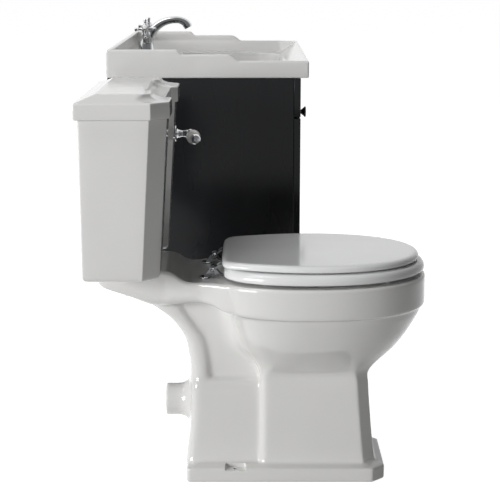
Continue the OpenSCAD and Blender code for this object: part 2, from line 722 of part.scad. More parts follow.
// Hinges: cover disc and post on the pan, arms to the ring and to the lid, one pin each
post_w = 9;
post_plate = 27;
module hinge_posts() color(chrome) pair(hinge_x) {
    translate([0, -post_y, 0]) {
        translate([0, 0, rim_z - 1]) rotate_extrude()
            polygon([[0, 0.3], [post_plate / 2, 0.3], [post_plate / 2, 1.8], [12, 3], [0, 3.6]]);
        translate([0, 0, hinge_pad_z - 18]) cylinder(d = post_bolt_d, h = rim_z - hinge_pad_z + 18);
    }
    rotate([90, 0, 90]) translate([0, 0, -post_w / 2]) linear_extrude(post_w) difference() {
        union() {
            polygon([
                [-post_y + 4, rim_z + 1.5], [-post_y - 8, rim_z + 1.5], [-hinge_y - 4, hinge_z - 8],
                [-hinge_y - 3, hinge_z], [-hinge_y + 5, hinge_z + 3], [-post_y + 2, rim_z + 5]
            ]);
            translate([-hinge_y, hinge_z]) circle(d = 15);
        }
        translate([-hinge_y, hinge_z]) circle(d = hinge_pin_d + 2 * slip);
    }
}
module hinge_pins() color(chrome) pair(hinge_x) translate([0, -hinge_y, hinge_z]) rotate([0, 90, 0]) {
    translate([0, 0, -17]) cylinder(d = hinge_pin_d, h = 34);
    for (s = [-1, 1]) translate([0, 0, s * 19]) sphere(d = 9.6);
}
module hinge_nuts() color(grey) pair(hinge_x) translate([0, -post_y, hinge_pad_z - face - 11]) difference() {
    union() {
        cylinder(d = 18, h = 11);
        translate([0, 0, 8]) cylinder(d = 24, h = 3);
    }
    translate([0, 0, -1]) cylinder(d = post_bolt_d + 2 * slip, h = 20);
}
// Strap from the pin to a piece of the seat: an eye, a bar and a foot that lies along the piece
module arm(inner, reach, rise, foot_len, foot_t, up) {
    x = post_w / 2 + 0.4 + (inner ? 0 : 5.2);
    low = up ? rise - foot_t : rise;
    for (s = [-1, 1]) translate([s * (x + 2.4) - 2.4, -hinge_y, hinge_z]) rotate([90, 0, 90])
        linear_extrude(4.8) difference() {
            union() {
                circle(d = 12.4);
                polygon([
                    [2, 3], [-3, 4], [-reach + 3, low + foot_t + (up ? 0 : 2)], [-reach - 2, low + foot_t],
                    [-reach - foot_len, low + foot_t], [-reach - foot_len, low], [-reach, low],
                    [-reach * 0.45, low * 0.6 - 3], [1, -4]
                ]);
            }
            circle(d = hinge_pin_d + 2 * slip);
        }
}
module ring_hinge_arms() color(chrome) pair(hinge_x)
    arm(true, ring_back - hinge_y - 3, ring_z - hinge_z - 2.3, 42, 2, false);
module lid_hinge_arms() color(chrome) pair(hinge_x)
    arm(false, cover_back - hinge_y - 2, cover_z - hinge_z - face, 42, 1.6, true);

// Basin: stepped outline run across its width, a tray with sloping sides and a lofted bowl
function tray(i, front, back, z) = [
    [basin_x + i, -back, z], [basin_x + i, -basin_d + front, z],
    [basin_x + basin_w - i, -basin_d + front, z], [basin_x + basin_w - i, -back, z]
];
function bowl_ring(grow, y1, y2, x, z) = [
    for (p = boxed(x + grow, y2 + grow, y1 - grow, 5.5, 0, 36)) [p[0] + basin_mid, p[1], z]
];
function bowl_rings(grow, top) = [
    bowl_ring(grow, waste_y - 40, waste_y + 0.221 * bowl_run, 60, bowl_z - grow),
    bowl_ring(grow, waste_y - 78, waste_y + 0.532 * bowl_run, 190, bowl_z + 9 - grow),
    bowl_ring(grow, waste_y - 104, waste_y + 0.753 * bowl_run, 250, bowl_z + 24 - grow),
    bowl_ring(grow, waste_y - 120, waste_y + 0.87 * bowl_run, 276, bowl_z + 48 - grow),
    bowl_ring(grow, waste_y - 128, waste_y + 0.948 * bowl_run, 288, bowl_z + 82 - grow),
    bowl_ring(grow, waste_y - 134, waste_y + bowl_run, 296, top)
];
module basin() color(white) difference() {
    union() {
        translate([basin_x + basin_w, 0, basin_z]) rotate([90, 0, -90]) linear_extrude(basin_w) polygon([
            [0, 0], [basin_d - 1.5, 0], [basin_d, 1.5], [basin_d, basin_front_h - 2],
            [basin_d - 2, basin_front_h], [306, basin_front_h], [298, basin_front_h + 3],
            [288, basin_mid_h - 2], [284, basin_mid_h], [177, basin_mid_h], [164, basin_back_h],
            [0, basin_back_h]
        ]);
        loft(bowl_rings(bowl_wall, basin_z + 2));
    }
    translate([basin_x + upstand_t, -basin_d - 1, basin_z + basin_front_h - 0.01])
        cube([basin_w - 2 * upstand_t, basin_d + 1 - upstand_t, 60]);
    loft([tray(49, 46, 28, ledge_z), tray(upstand_t, 7, upstand_t, basin_z + basin_front_h)]);
    loft(bowl_rings(0, ledge_z + 1));
    translate([basin_mid, -tap_y, basin_z - 5]) cylinder(d = 35, h = 40);
    translate([basin_mid, -waste_y, bowl_z - 40]) cylinder(d = 46, h = 80);
    translate([basin_mid, -waste_y, bowl_z - 0.6]) cylinder(d = 66, h = 40);
}

// Tap: foot and curved spout in one casting, from cross-sections along its centre curve
spout_line = [
    [64.5, 14, 24, 23.5], [65.5, 26, 21, 20], [67, 40, 17.5, 16.5], [70.5, 54, 14.8, 14], [77, 68, 12.6, 12],
    [86.5, 80, 11.2, 11], [98, 90, 10.2, 10.2], [112, 97.8, 9.4, 9.6], [128, 102.4, 8.8, 9.2],
    [146, 103.6, 8.6, 9.2], [157, 101.4, 9, 9.4], [165.5, 97, 9.8, 9.8], [171, 91.5, 10.6, 10.4], [173.4, 86.8, 11, 10.8]
];
nozzle_y = 172.2;
nozzle_z = ledge_z + 86.8;
nozzle_lean = 63;
module at_nozzle() translate([basin_mid, -nozzle_y, nozzle_z]) rotate([90 + nozzle_lean, 0, 0]) children();
function spout_turn(i) =
    let (a = spout_line[max(0, i - 1)], b = spout_line[min(len(spout_line) - 1, i + 1)])
        atan2(b[1] - a[1], b[0] - a[0]);
function spout_ring(i, n) =
    let (s = spout_line[i], t = i == 0 ? 90 : spout_turn(i))
        [for (k = [0 : n - 1])
            let (a = 360 * k / n, u = s[2] * cos(a), v = s[3] * sin(a))
                [v, -s[0] - u * sin(t), s[1] - u * cos(t)]];
module tap_body() color(chrome) difference() {
    union() {
        for (s = [-1, 1]) on_valve(s) translate([0, 0, -cross_reach]) cylinder(d = 21, h = cross_reach - 23.3);
        translate([basin_mid, 0, ledge_z]) {
            translate([0, -tap_y, 0]) rotate_extrude() let (r = tap_d / 2) polygon([
                [0, face], [r, face], [r + 1, 2], [r + 0.6, 4.5], [r - 1.5, 6], [r - 1, 8], [r - 0.4, 10],
                [r - 0.4, 17], [0, 17]
            ]);
            translate([0, 1, 0]) loft([for (i = [0 : len(spout_line) - 1]) spout_ring(i, 16)]);
            translate([0, -tap_y, -46]) cylinder(d = 10, h = 50);
        }
    }
    for (s = [-1, 1]) on_valve(s) translate([0, 0, -36]) cylinder(d = 14 + 2 * face, h = 36);
    at_nozzle() translate([0, 0, -10]) cylinder(d = 16.6, h = 20);
}
module tap_nozzle() color(chrome) at_nozzle() difference() {
    union() {
        translate([0, 0, face]) cylinder(d = 20, h = 3);
        translate([0, 0, -9]) cylinder(d = 16, h = 10);
    }
    translate([0, 0, -8]) cylinder(d = 12, h = 20);
}
module tap_nut() color(brass) translate([basin_mid, 0, basin_z]) difference() {
    union() {
        translate([0, -tap_y, -3.3]) cylinder(d = 44, h = 3);
        translate([0, -tap_y, -12]) hex(17, 9);
    }
    translate([0, -tap_y, -20]) cylinder(d = 10 + 2 * slip, h = 30);
}
// Valve bonnet, cross-head and index, drawn along +Z about the middle of the cross-head
module bonnet() difference() {
    rotate_extrude() polygon([
        [0, -34], [7, -34], [7, -23], [10.5, -23], [11, -21], [9.6, -18], [8, -14], [7.6, -11], [0, -11]
    ]);
    translate([0, 0, -40]) cylinder(d = valve_d + 2 * slip, h = 40);
}
module crosshead() {
    translate([0, 0, -33]) cylinder(d = valve_d, h = 26);
    rotate_extrude() polygon([
        [0, -10.7], [8, -10.7], [9.4, -8], [8.6, -4], [8.6, 5], [7.8, 8], [7.2, 12], [0, 12]
    ]);
    for (a = [0 : 90 : 270]) rotate([90, 0, a + 3]) rotate_extrude() polygon([
        [0, 0], [4, 0], [3.6, 9], [2.9, 14], [3, 17], [4.2, 18.5], [3, 20], [3.4, 21.5], [4.6, 24],
        [4.3, 26.4], [2.4, 27.8], [0, 28]
    ]);
}
module index_disc() translate([0, 0, 12.3]) rotate_extrude()
    polygon([[0, 0], [6.2, 0], [6.2, 0.8], [4, 1.7], [0, 2]]);
module on_valve(s) translate([basin_mid, -tap_y - 1, branch_z])
    rotate([0, s * (90 - cross_tilt), 0]) translate([0, 0, cross_reach]) children();
module left_bonnet() color(chrome) on_valve(-1) bonnet();
module right_bonnet() color(chrome) on_valve(1) bonnet();
module left_crosshead() color(chrome) on_valve(-1) crosshead();
module right_crosshead() color(chrome) on_valve(1) crosshead();
module left_index() color(white) on_valve(-1) index_disc();
module right_index() color(white) on_valve(1) index_disc();

// Waste: a plug that stays up or down on its stem, a flanged body with a spider for that stem
stem_d = 8;
spider_z = bowl_z - 34;
module waste_plug() color(chrome) translate([basin_mid, -waste_y, 0]) {
    translate([0, 0, bowl_z + 10.8]) rotate_extrude() polygon([
        [0, 0], [27, 0], [28.4, 1.4], [27.6, 3.2], [20, 4.8], [10, 5.8], [0, 6.2]
    ]);
    translate([0, 0, spider_z - 12]) cylinder(d = stem_d, h = bowl_z - spider_z + 24);
}
module waste_body() color(chrome) translate([basin_mid, -waste_y, 0]) {
    difference() {
        union() {
            translate([0, 0, bowl_z - 0.3])
                rotate_extrude() polygon([[0, 0], [32.6, 0], [32, 1.4], [27, 2.6], [0, 2.6]]);
            translate([0, 0, bowl_z - 76]) cylinder(d = 43, h = 77);
        }
        translate([0, 0, bowl_z - 80]) cylinder(d = 37, h = 90);
    }
    difference() {
        union() {
            translate([0, 0, spider_z - 3]) cylinder(d = 14, h = 10);
            for (a = [0, 60, 120]) rotate([0, 0, a]) translate([-19.4, -1.5, spider_z - 3]) cube([38.8, 3, 6]);
        }
        translate([0, 0, spider_z - 5]) cylinder(d = stem_d + 2 * slip, h = 20);
    }
}
module waste_nut() color(grey) translate([basin_mid, -waste_y, bowl_z - bowl_wall - 13.4]) difference() {
    union() {
        translate([0, 0, 7]) cylinder(d = 62, h = 6);
        hex(56, 8);
    }
    translate([0, 0, -1]) cylinder(d = 43 + 2 * slip, h = 20);
}
trap_top = bowl_z - 70;
trap_z = bowl_z - 118;
module bottle_trap() color(chrome) translate([basin_mid, -waste_y, 0]) difference() {
    union() {
        translate([0, 0, trap_top - 16]) cylinder(d = 54, h = 16);
        translate([0, 0, trap_z - 20]) cylinder(d = 60, h = trap_top - trap_z + 6);
        translate([0, 0, trap_z]) rotate([-90, 0, 0]) cylinder(d = pipe_d + 8, h = 46);
    }
    translate([0, 0, trap_top - 14]) cylinder(d = 43 + 2 * slip, h = 30);
    translate([0, 0, trap_z - 30]) cylinder(d = 52, h = trap_top - trap_z + 12);
    translate([0, 0, trap_z]) rotate([-90, 0, 0]) cylinder(d = pipe_d + 2 * slip, h = 60);
}
module trap_cup() color(chrome) translate([basin_mid, -waste_y, trap_z - 62]) difference() {
    rotate_extrude() polygon([
        [0, 0], [16, 0], [26, 4], [30, 12], [31, 20], [31, 41.7], [26 - face, 41.7], [26 - face, 45], [0, 45]
    ]);
    translate([0, 0, 8]) cylinder(d = 46, h = 60);
}
module trap_pipe() color(chrome) translate([basin_mid, 0, trap_z]) difference() {
    union() {
        rod_y(pipe_d, 1, waste_y - 24);
        rod_y(pipe_d + 5, 200, 204);
    }
    rod_y(pipe_d - 4, -1, waste_y);
}

// Cabinet: boards, fixed top front, drawer
module board_at(x, y, z, w, d, h) translate([x, -y - d, z]) cube([w, d, h]);
right_x = cabinet_x + cabinet_w - board;
module side_panels() color(black) for (x = [cabinet_x, right_x])
    board_at(x, 1.5, cabinet_z, board, cabinet_d - 1.5, cabinet_h);
module bottom_panel() color(black)
    board_at(cabinet_x + board, 1.5, cabinet_z, cabinet_w - 2 * board, cabinet_d - 1.5, board);
rail_z = cabinet_z + board + 40;
hook_x = 320;
hook_z = cabinet_top - 64;
low_hole_z = rail_z + 40;
module back_rails() color(black) {
    w = cabinet_w - 2 * board;
    difference() {
        union() {
            board_at(cabinet_x + board, 1.5, cabinet_top - 110, w, board, 90);
            board_at(cabinet_x + board, 1.5, rail_z, w, board, 80);
        }
        for (s = [-1, 1], z = [hook_z, low_hole_z]) translate([basin_mid + s * hook_x, 0, z]) rod_y(9, 0, 40);
    }
}
module top_fascia() color(black) {
    board_at(cabinet_x, front_back, fascia_z, cabinet_w, board, fascia_h);
    board_at(cabinet_x + board + face, front_back - board - face, fascia_z + 4, cabinet_w - 2 * board - 2 * face, board, 34);
}
module drawer_front() color(black) difference() {
    board_at(cabinet_x, front_back, cabinet_z, cabinet_w, board, drawer_top - cabinet_z);
    translate([basin_mid, 0, drawer_top - knob_down]) rod_y(4.4, front_back - 1, front_back + board + 1);
}
runner_t = 12.7;
side_in = board + runner_t + 0.2;
side_x = cabinet_x + side_in;
drawer_back = 60;
module drawer_sides() color(grey) for (x = [side_x, cabinet_x + cabinet_w - side_in - board])
    board_at(x, drawer_back, drawer_z, board, front_back - face - drawer_back, drawer_h);
inner_x = side_x + board;
module drawer_backs() color(grey) for (s = [0, 1]) {
    w = basin_mid - notch_w / 2 - inner_x;
    board_at(s == 0 ? inner_x : basin_mid + notch_w / 2, drawer_back, drawer_z + 12, w, board, drawer_h - 12);
}
module drawer_bottom() color(grey) difference() {
    board_at(inner_x, drawer_back, drawer_z, 2 * (basin_mid - inner_x), front_back - face - drawer_back, 12);
    board_at(basin_mid - notch_w / 2, drawer_back - 1, drawer_z - 1, notch_w, notch_y - drawer_back + 1, 20);
}
module trap_surround() color(grey) {
    y1 = drawer_back + board;
    for (x = [basin_mid - notch_w / 2 - board, basin_mid + notch_w / 2])
        board_at(x, y1, drawer_z + 12, board, notch_y - y1 + board, drawer_h - 12);
    board_at(basin_mid - notch_w / 2, notch_y, drawer_z + 12, notch_w, board, drawer_h - 12);
}
module drawer_knob() color(black) translate([basin_mid, 0, drawer_top - knob_down]) {
    y = front_back + board;
    r = knob_d / 2;
    rotate([90, 0, 0]) rotate_extrude() polygon([
        [0, y + face], [6, y + face], [6.2, y + 1.6], [4.4, y + 3], [3.3, y + 6], [3.3, y + 9], [4.4, y + 13],
        [6.8, y + 17.5], [10, y + 21.5], [r, y + 24.6], [r, y + 27.4], [r - 1, y + 28.2], [0, y + 28.2]
    ]);
    rod_y(4, front_back - 3, y + 2);
    translate([0, -(front_back - face), 0]) rotate([-90, 0, 0]) cylinder(d = 9, h = 2.6);
}
runner_z = drawer_z + 30;
runner_len = cabinet_d - 54;
module runners_fixed() color(chrome) for (s = [0, 1]) {
    x = s == 0 ? cabinet_x + board + face : right_x - face - 5;
    board_at(x, 40, runner_z, 5, runner_len, 36);
}
module runners_moving() color(chrome) for (s = [0, 1]) {
    x = s == 0 ? cabinet_x + board + 5.6 : right_x - 5.6 - 7;
    board_at(x, 62, runner_z + 6, 7, runner_len - 24, 24);
}
module wall_hangers() color(chrome) for (s = [-1, 1])
    translate([basin_mid + s * hook_x, 0, hook_z]) difference() {
        board_at(-30, board + 1.5 + face, -20, 60, 3, 40);
        rod_y(9, 0, 40);
    }

pan();
cistern_body();
cistern_lid();
doughnut_washer();
coupling_bolts();
coupling_washers();
coupling_wing_nuts();
flush_valve_body();
flush_valve_nut();
flush_piston();
cable_clip();
cable_sleeve();
fill_valve();
fill_valve_nut();
float_cup();
lever_boss();
lever_nut();
flush_lever();
lever_grip();
lever_cam();
seat_ring();
ring_buffers();
ring_hinge_arms();
seat_lid();
lid_buffers();
lid_hinge_arms();
hinge_posts();
hinge_pins();
hinge_nuts();
basin();
tap_body();
tap_nozzle();
tap_nut();
left_bonnet();
right_bonnet();
left_crosshead();
right_crosshead();
left_index();
right_index();
waste_plug();
waste_body();
waste_nut();
bottle_trap();
trap_cup();
trap_pipe();
side_panels();
bottom_panel();
back_rails();
top_fascia();
drawer_front();
drawer_sides();
drawer_backs();
drawer_bottom();
trap_surround();
drawer_knob();
runners_fixed();
runners_moving();
wall_hangers();
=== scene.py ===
import json
import math
import bpy
import numpy as np
from mathutils import Matrix, Vector


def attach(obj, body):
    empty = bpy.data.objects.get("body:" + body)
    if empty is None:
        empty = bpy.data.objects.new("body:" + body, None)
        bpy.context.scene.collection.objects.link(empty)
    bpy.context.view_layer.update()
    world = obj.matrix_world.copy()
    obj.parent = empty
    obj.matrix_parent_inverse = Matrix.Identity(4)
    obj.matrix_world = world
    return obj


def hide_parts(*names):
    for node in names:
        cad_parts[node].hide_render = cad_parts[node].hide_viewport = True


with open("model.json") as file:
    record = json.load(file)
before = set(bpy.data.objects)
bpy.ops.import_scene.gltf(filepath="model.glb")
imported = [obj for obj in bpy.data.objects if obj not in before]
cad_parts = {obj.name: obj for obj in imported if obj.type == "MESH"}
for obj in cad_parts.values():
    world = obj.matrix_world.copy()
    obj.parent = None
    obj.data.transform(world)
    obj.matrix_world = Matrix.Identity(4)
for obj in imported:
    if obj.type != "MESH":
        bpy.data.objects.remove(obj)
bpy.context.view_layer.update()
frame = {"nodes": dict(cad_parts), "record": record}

mm = 0.001
print("frame loaded:", len(frame["nodes"]), "parts")


# Every shell is (points in mm, faces)
def curveThrough(rows, steps):  # more rows on a smooth curve through the given ones
    rows = np.array(rows, float)
    last = len(rows) - 1
    found = []
    for i in range(last):
        a, b, c, d = rows[max(0, i - 1)], rows[i], rows[i + 1], rows[min(last, i + 2)]
        for k in range(steps):
            t = k / steps
            cubic = 2 * b + (c - a) * t + (2 * a - 5 * b + 4 * c - d) * t * t
            found.append(0.5 * (cubic + (3 * b - a - 3 * c + d) * t ** 3))
    found.append(rows[last])
    return np.array(found)


def power(value, n):
    return np.sign(value) * np.abs(value) ** (2 / n)


def ovalLine(width, front, back, centre, n, m, count):  # distances are from the wall
    t = np.linspace(0, 2 * math.pi, count, endpoint=False)
    s, c = np.sin(t), np.cos(t)
    x = np.where(s < 0, width * power(c, n), width * power(c, m))
    y = np.where(s < 0, -centre + (front - centre) * power(s, n), -centre + (centre - back) * power(s, 2))
    return np.column_stack([x, y])


def roundedLine(corners, radii, arcSteps=5, edgeSteps=3):  # closed outline with its corners rounded
    corners = [np.array(c, float) for c in corners]
    n = len(corners)
    radii = [radii] * n if np.isscalar(radii) else radii
    arcs = []
    for i in range(n):
        a, b, c = corners[i - 1], corners[i], corners[(i + 1) % n]
        u, v = (a - b) / np.linalg.norm(a - b), (c - b) / np.linalg.norm(c - b)
        half = math.acos(max(-1, min(1, float(u @ v)))) / 2
        reach = min(radii[i] / math.tan(half), 0.45 * np.linalg.norm(a - b), 0.45 * np.linalg.norm(c - b))
        radius = reach * math.tan(half)
        middle = b + (u + v) / np.linalg.norm(u + v) * radius / math.sin(half)
        first, end = b + u * reach - middle, b + v * reach - middle
        turn = math.atan2(first[0] * end[1] - first[1] * end[0], first @ end)
        arc = []
        for k in range(arcSteps + 1):
            t = turn * k / arcSteps
            arc.append(middle + np.array([first[0] * math.cos(t) - first[1] * math.sin(t),
                                          first[0] * math.sin(t) + first[1] * math.cos(t)]))
        arcs.append(arc)
    line = []
    for i in range(n):
        line += arcs[i]
        start, end = arcs[i][-1], arcs[(i + 1) % n][0]
        line += [start + (end - start) * k / edgeSteps for k in range(1, edgeSteps)]
    return np.array(line)


def insetLine(corners, amount):  # mitred inset of a closed outline that runs anticlockwise
    corners = [np.array(c, float) for c in corners]
    found = []
    for i, b in enumerate(corners):
        a, c = corners[i - 1], corners[(i + 1) % len(corners)]
        u, v = (b - a) / np.linalg.norm(b - a), (c - b) / np.linalg.norm(c - b)
        n1, n2 = np.array([-u[1], u[0]]), np.array([-v[1], v[0]])
        found.append(b + (n1 + n2) * amount / (1 + float(n1 @ n2)))
    return found


def level(line, z):
    return np.column_stack([line, np.full(len(line), float(z))])


def loftShell(rings, capped=True):  # a skin through outlines of equal length
    count, rows = len(rings[0]), len(rings)
    faces = []
    for i in range(rows - 1):
        for j in range(count):
            k = (j + 1) % count
            faces.append((i * count + j, i * count + k, (i + 1) * count + k, (i + 1) * count + j))
    if capped:
        faces += [tuple(range(count - 1, -1, -1)), tuple((rows - 1) * count + j for j in range(count))]
    return np.vstack(rings), faces


def hoopShell(rings):  # the last outline is joined to the first, as round a ring
    points, faces = loftShell(rings, False)
    count, rows = len(rings[0]), len(rings)
    low = (rows - 1) * count
    return points, faces + [(low + j, low + (j + 1) % count, (j + 1) % count, j) for j in range(count)]


pinhole = 0.01  # radius at the axis, where a turned shell would otherwise close to a point


def spinShell(profile, count=48, matrix=None):  # profile of (radius, height), turned about Z
    angles = np.linspace(0, 2 * math.pi, count, endpoint=False)
    circle = np.column_stack([np.cos(angles), np.sin(angles)])
    return moved(loftShell([level(max(r, pinhole) * circle, h) for r, h in profile]), matrix)


def boxShell(low, high):
    x, y = (low[0], high[0]), (low[1], high[1])
    line = np.array([(x[0], y[0]), (x[1], y[0]), (x[1], y[1]), (x[0], y[1])], float)
    return loftShell([level(line, low[2]), level(line, high[2])])


def moved(shell, matrix):
    if matrix is None:
        return shell
    points, faces = shell
    m = np.array(matrix)
    return points @ m[:3, :3].T + m[:3, 3], faces


def mirrored(shell):  # the other side of the plane X = 0
    points, faces = shell
    return points * np.array([-1, 1, 1]), [tuple(reversed(f)) for f in faces]


def makeObject(name, *shells):
    points, faces, start = [], [], 0
    for p, f in shells:
        points.append(p)
        faces += [tuple(i + start for i in face) for face in f]
        start += len(p)
    mesh = bpy.data.meshes.new(name)
    mesh.from_pydata((np.vstack(points) * mm).tolist(), [], faces)
    mesh.validate()
    made = bpy.data.objects.new(name, mesh)
    bpy.context.scene.collection.objects.link(made)
    return made


def settle(made):  # applies the modifiers
    mesh = bpy.data.meshes.new_from_object(made.evaluated_get(bpy.context.evaluated_depsgraph_get()))
    made.modifiers.clear()
    old, made.data = made.data, mesh
    bpy.data.meshes.remove(old)
    made.data.name = made.name
    return made


def change(made, kind, **settings):
    modifier = made.modifiers.new(kind.lower(), kind)
    for key, value in settings.items():
        setattr(modifier, key, value)
    return settle(made)


def fuse(made, voxel, rounds, strength=0.5):  # one cast skin with its edges and joins softened
    change(made, "REMESH", mode="VOXEL", voxel_size=voxel * mm, adaptivity=0)
    return change(made, "SMOOTH", factor=strength, iterations=rounds)


def softenWhere(made, weightOf, rounds, strength=0.5):
    points = np.empty(len(made.data.vertices) * 3, np.float32)
    made.data.vertices.foreach_get("co", points)
    weights = weightOf(points.reshape(-1, 3) / mm)
    group = made.vertex_groups.new(name="soft")
    for k in range(1, 11):
        chosen = np.nonzero((weights > (k - 0.5) / 10) & (weights <= (k + 0.5) / 10))[0]
        if len(chosen):
            group.add(chosen.tolist(), k / 10, "REPLACE")
    change(made, "SMOOTH", factor=strength, iterations=rounds, vertex_group="soft")
    made.vertex_groups.clear()
    return made


def cutAway(made, *shells):
    for shell in shells:
        cutter = makeObject("cutter", shell)
        change(made, "BOOLEAN", operation="DIFFERENCE", object=cutter, solver="MANIFOLD")
        bpy.data.objects.remove(cutter)
    return made


def thin(made, ratio):  # fewer faces where the surface is plain
    return change(made, "DECIMATE", ratio=ratio)


def shade(made, angle=None):
    mesh = made.data
    mesh.polygons.foreach_set("use_smooth", [True] * len(mesh.polygons))
    if angle is not None:
        mesh.set_sharp_from_angle(angle=math.radians(angle))
    return made


class Wire:  # a value in a material; arithmetic on it adds Math nodes
    def __init__(self, finish, socket):
        self.finish, self.socket = finish, socket

    def math(self, operation, a, b):
        return self.finish.node("ShaderNodeMath", {"operation": operation}, {0: a, 1: b})

    def __add__(self, other): return self.math("ADD", self, other)
    def __radd__(self, other): return self.math("ADD", other, self)
    def __sub__(self, other): return self.math("SUBTRACT", self, other)
    def __rsub__(self, other): return self.math("SUBTRACT", other, self)
    def __mul__(self, other): return self.math("MULTIPLY", self, other)
    def __rmul__(self, other): return self.math("MULTIPLY", other, self)


class Finish:
    def __init__(self, owner):  # owner is a new material, or the world
        owner.use_nodes = True
        self.owner, self.tree = owner, owner.node_tree
        self.tree.nodes.clear()
        self.place = self.node("ShaderNodeTexCoord", out="Object")

    def node(self, kind, settings=None, sockets=None, out=0):
        made = self.tree.nodes.new(kind)
        for key, value in (settings or {}).items():
            setattr(made, key, value)
        for key, value in (sockets or {}).items():
            if isinstance(value, Wire):
                self.tree.links.new(value.socket, made.inputs[key])
            else:
                made.inputs[key].default_value = value
        return Wire(self, made.outputs[out]) if made.outputs else made

    def seenDirectly(self):  # 1 for what the camera, a reflection or glass sees, 0 for light on the object
        rays = "Is Camera Ray", "Is Glossy Ray", "Is Transmission Ray"
        return sum(self.node("ShaderNodeLightPath", out=ray) for ray in rays)

    def noise(self, scale, detail=3.0, stretch=None):
        place = self.place
        if stretch:
            place = self.node("ShaderNodeMapping", None, {"Vector": place, "Scale": stretch})
        return self.node("ShaderNodeTexNoise", None, {"Vector": place, "Scale": scale, "Detail": detail})

    def between(self, factor, low, high):  # two colours mixed by a value
        sockets = {0: factor, 6: (*low, 1), 7: (*high, 1)}
        return self.node("ShaderNodeMix", {"data_type": "RGBA"}, sockets, out=2)

    def spread(self, value, low=0.3, high=0.7):  # 0 to 1 between two levels
        return self.node("ShaderNodeMapRange", None, {"Value": value, "From Min": low, "From Max": high})

    def bump(self, height, strength, distance):
        sockets = {"Height": height, "Strength": strength, "Distance": distance}
        return self.node("ShaderNodeBump", None, sockets)

    def close(self, **sockets):
        named = {key.replace("_", " "): value for key, value in sockets.items()}
        return self.output(self.node("ShaderNodeBsdfPrincipled", None, named))

    def output(self, surface, kind="ShaderNodeOutputMaterial"):
        self.node(kind, None, {"Surface": surface})
        return self.owner


def newFinish(name):
    return Finish(bpy.data.materials.new(name))


china = newFinish("glazedChina")
glazeDrift = china.spread(china.noise(5.0, 2.0))
glazeWave = china.noise(26.0, 2.0)
glazeFleck = china.noise(900.0, 1.0)
glazedChina = china.close(
    Base_Color=china.between(glazeDrift, (0.775, 0.77, 0.755), (0.805, 0.80, 0.787)),
    Roughness=0.07 + glazeDrift * 0.05,
    Normal=china.bump(glazeWave + glazeFleck * 0.02, 0.06, 0.004),
    Coat_Weight=0.15, Coat_Roughness=0.03, Specular_IOR_Level=0.5)

seat = newFinish("mouldedSeat")
seatDrift = seat.spread(seat.noise(9.0, 2.0), 0.35, 0.65)
mouldedSeat = seat.close(
    Base_Color=seat.between(seatDrift, (0.86, 0.865, 0.87), (0.885, 0.887, 0.89)),
    Roughness=0.1 + seatDrift * 0.05,
    Normal=seat.bump(seat.noise(18.0, 1.0) + seat.noise(700.0, 2.0) * 0.03, 0.04, 0.003),
    Coat_Weight=0.1, Coat_Roughness=0.04)

chrome = newFinish("polishedChrome")
# painted reflection: the chrome's colour is dark where it faces the view and near its outline, and bright in
# between, standing in for dark and bright surroundings reflected in it
rim = chrome.node("ShaderNodeLayerWeight", None, {"Blend": 0.5}, out="Facing")
paintedReflection = chrome.spread(rim, 0.12, 0.42) - chrome.spread(rim, 0.45, 0.85)  # bright between middle and edge
water = chrome.spread(chrome.noise(60.0, 3.0), 0.35, 0.75)
polishedChrome = chrome.close(
    Base_Color=chrome.between(paintedReflection, (0.13, 0.134, 0.14), (0.78, 0.79, 0.8)),
    Metallic=1.0, Roughness=0.05 + water * 0.06,
    Normal=chrome.bump(chrome.noise(240.0, 2.0), 0.03, 0.0006))

lacquer = newFinish("charcoalLacquer")
brushed = lacquer.spread(lacquer.noise(14.0, 3.0, (1.0, 1.0, 0.25)))
peel = lacquer.noise(520.0, 2.0)
charcoalLacquer = lacquer.close(
    Base_Color=lacquer.between(brushed, (0.007, 0.0078, 0.009), (0.0095, 0.0104, 0.0118)),
    Roughness=0.24 + brushed * 0.08,
    Normal=lacquer.bump(peel, 0.05, 0.0004),
    Specular_IOR_Level=0.18, Coat_Weight=0.04, Coat_Roughness=0.12)

board = newFinish("greyBoard")
fibre = board.spread(board.noise(160.0, 5.0, (1.0, 0.25, 1.0)))
greyBoard = board.close(
    Base_Color=board.between(fibre, (0.09, 0.091, 0.094), (0.125, 0.127, 0.13)),
    Roughness=0.42 + fibre * 0.15, Normal=board.bump(fibre, 0.12, 0.0006))

dark = newFinish("blackMetal")
cast = dark.spread(dark.noise(340.0, 3.0))
blackMetal = dark.close(
    Base_Color=dark.between(cast, (0.008, 0.008, 0.009), (0.016, 0.016, 0.017)),
    Roughness=0.28 + cast * 0.12, Normal=dark.bump(cast, 0.08, 0.0004),
    Coat_Weight=0.2, Coat_Roughness=0.15)


def plainMoulding(name, low, high, rough, grain=420.0):
    finish = newFinish(name)
    speck = finish.spread(finish.noise(grain, 4.0))
    drift = finish.spread(finish.noise(22.0, 2.0))
    return finish.close(Base_Color=finish.between(0.6 * drift + 0.4 * speck, low, high),
                        Roughness=rough + speck * 0.12, Normal=finish.bump(speck, 0.1, 0.0005))


sealRubber = plainMoulding("sealRubber", (0.012, 0.012, 0.013), (0.03, 0.03, 0.031), 0.62, 260.0)
greyPlastic = plainMoulding("greyPlastic", (0.13, 0.135, 0.14), (0.17, 0.175, 0.18), 0.4)
whitePlastic = plainMoulding("whitePlastic", (0.62, 0.62, 0.6), (0.7, 0.7, 0.68), 0.38)
blackPlastic = plainMoulding("blackPlastic", (0.01, 0.01, 0.011), (0.022, 0.022, 0.024), 0.4)

brassy = newFinish("turnedBrass")
rings = brassy.spread(brassy.noise(300.0, 3.0, (0.15, 0.15, 1.0)))
turnedBrass = brassy.close(
    Base_Color=brassy.between(rings, (0.46, 0.31, 0.11), (0.6, 0.43, 0.18)), Metallic=1.0,
    Roughness=0.24 + rings * 0.14, Normal=brassy.bump(rings, 0.12, 0.0004))

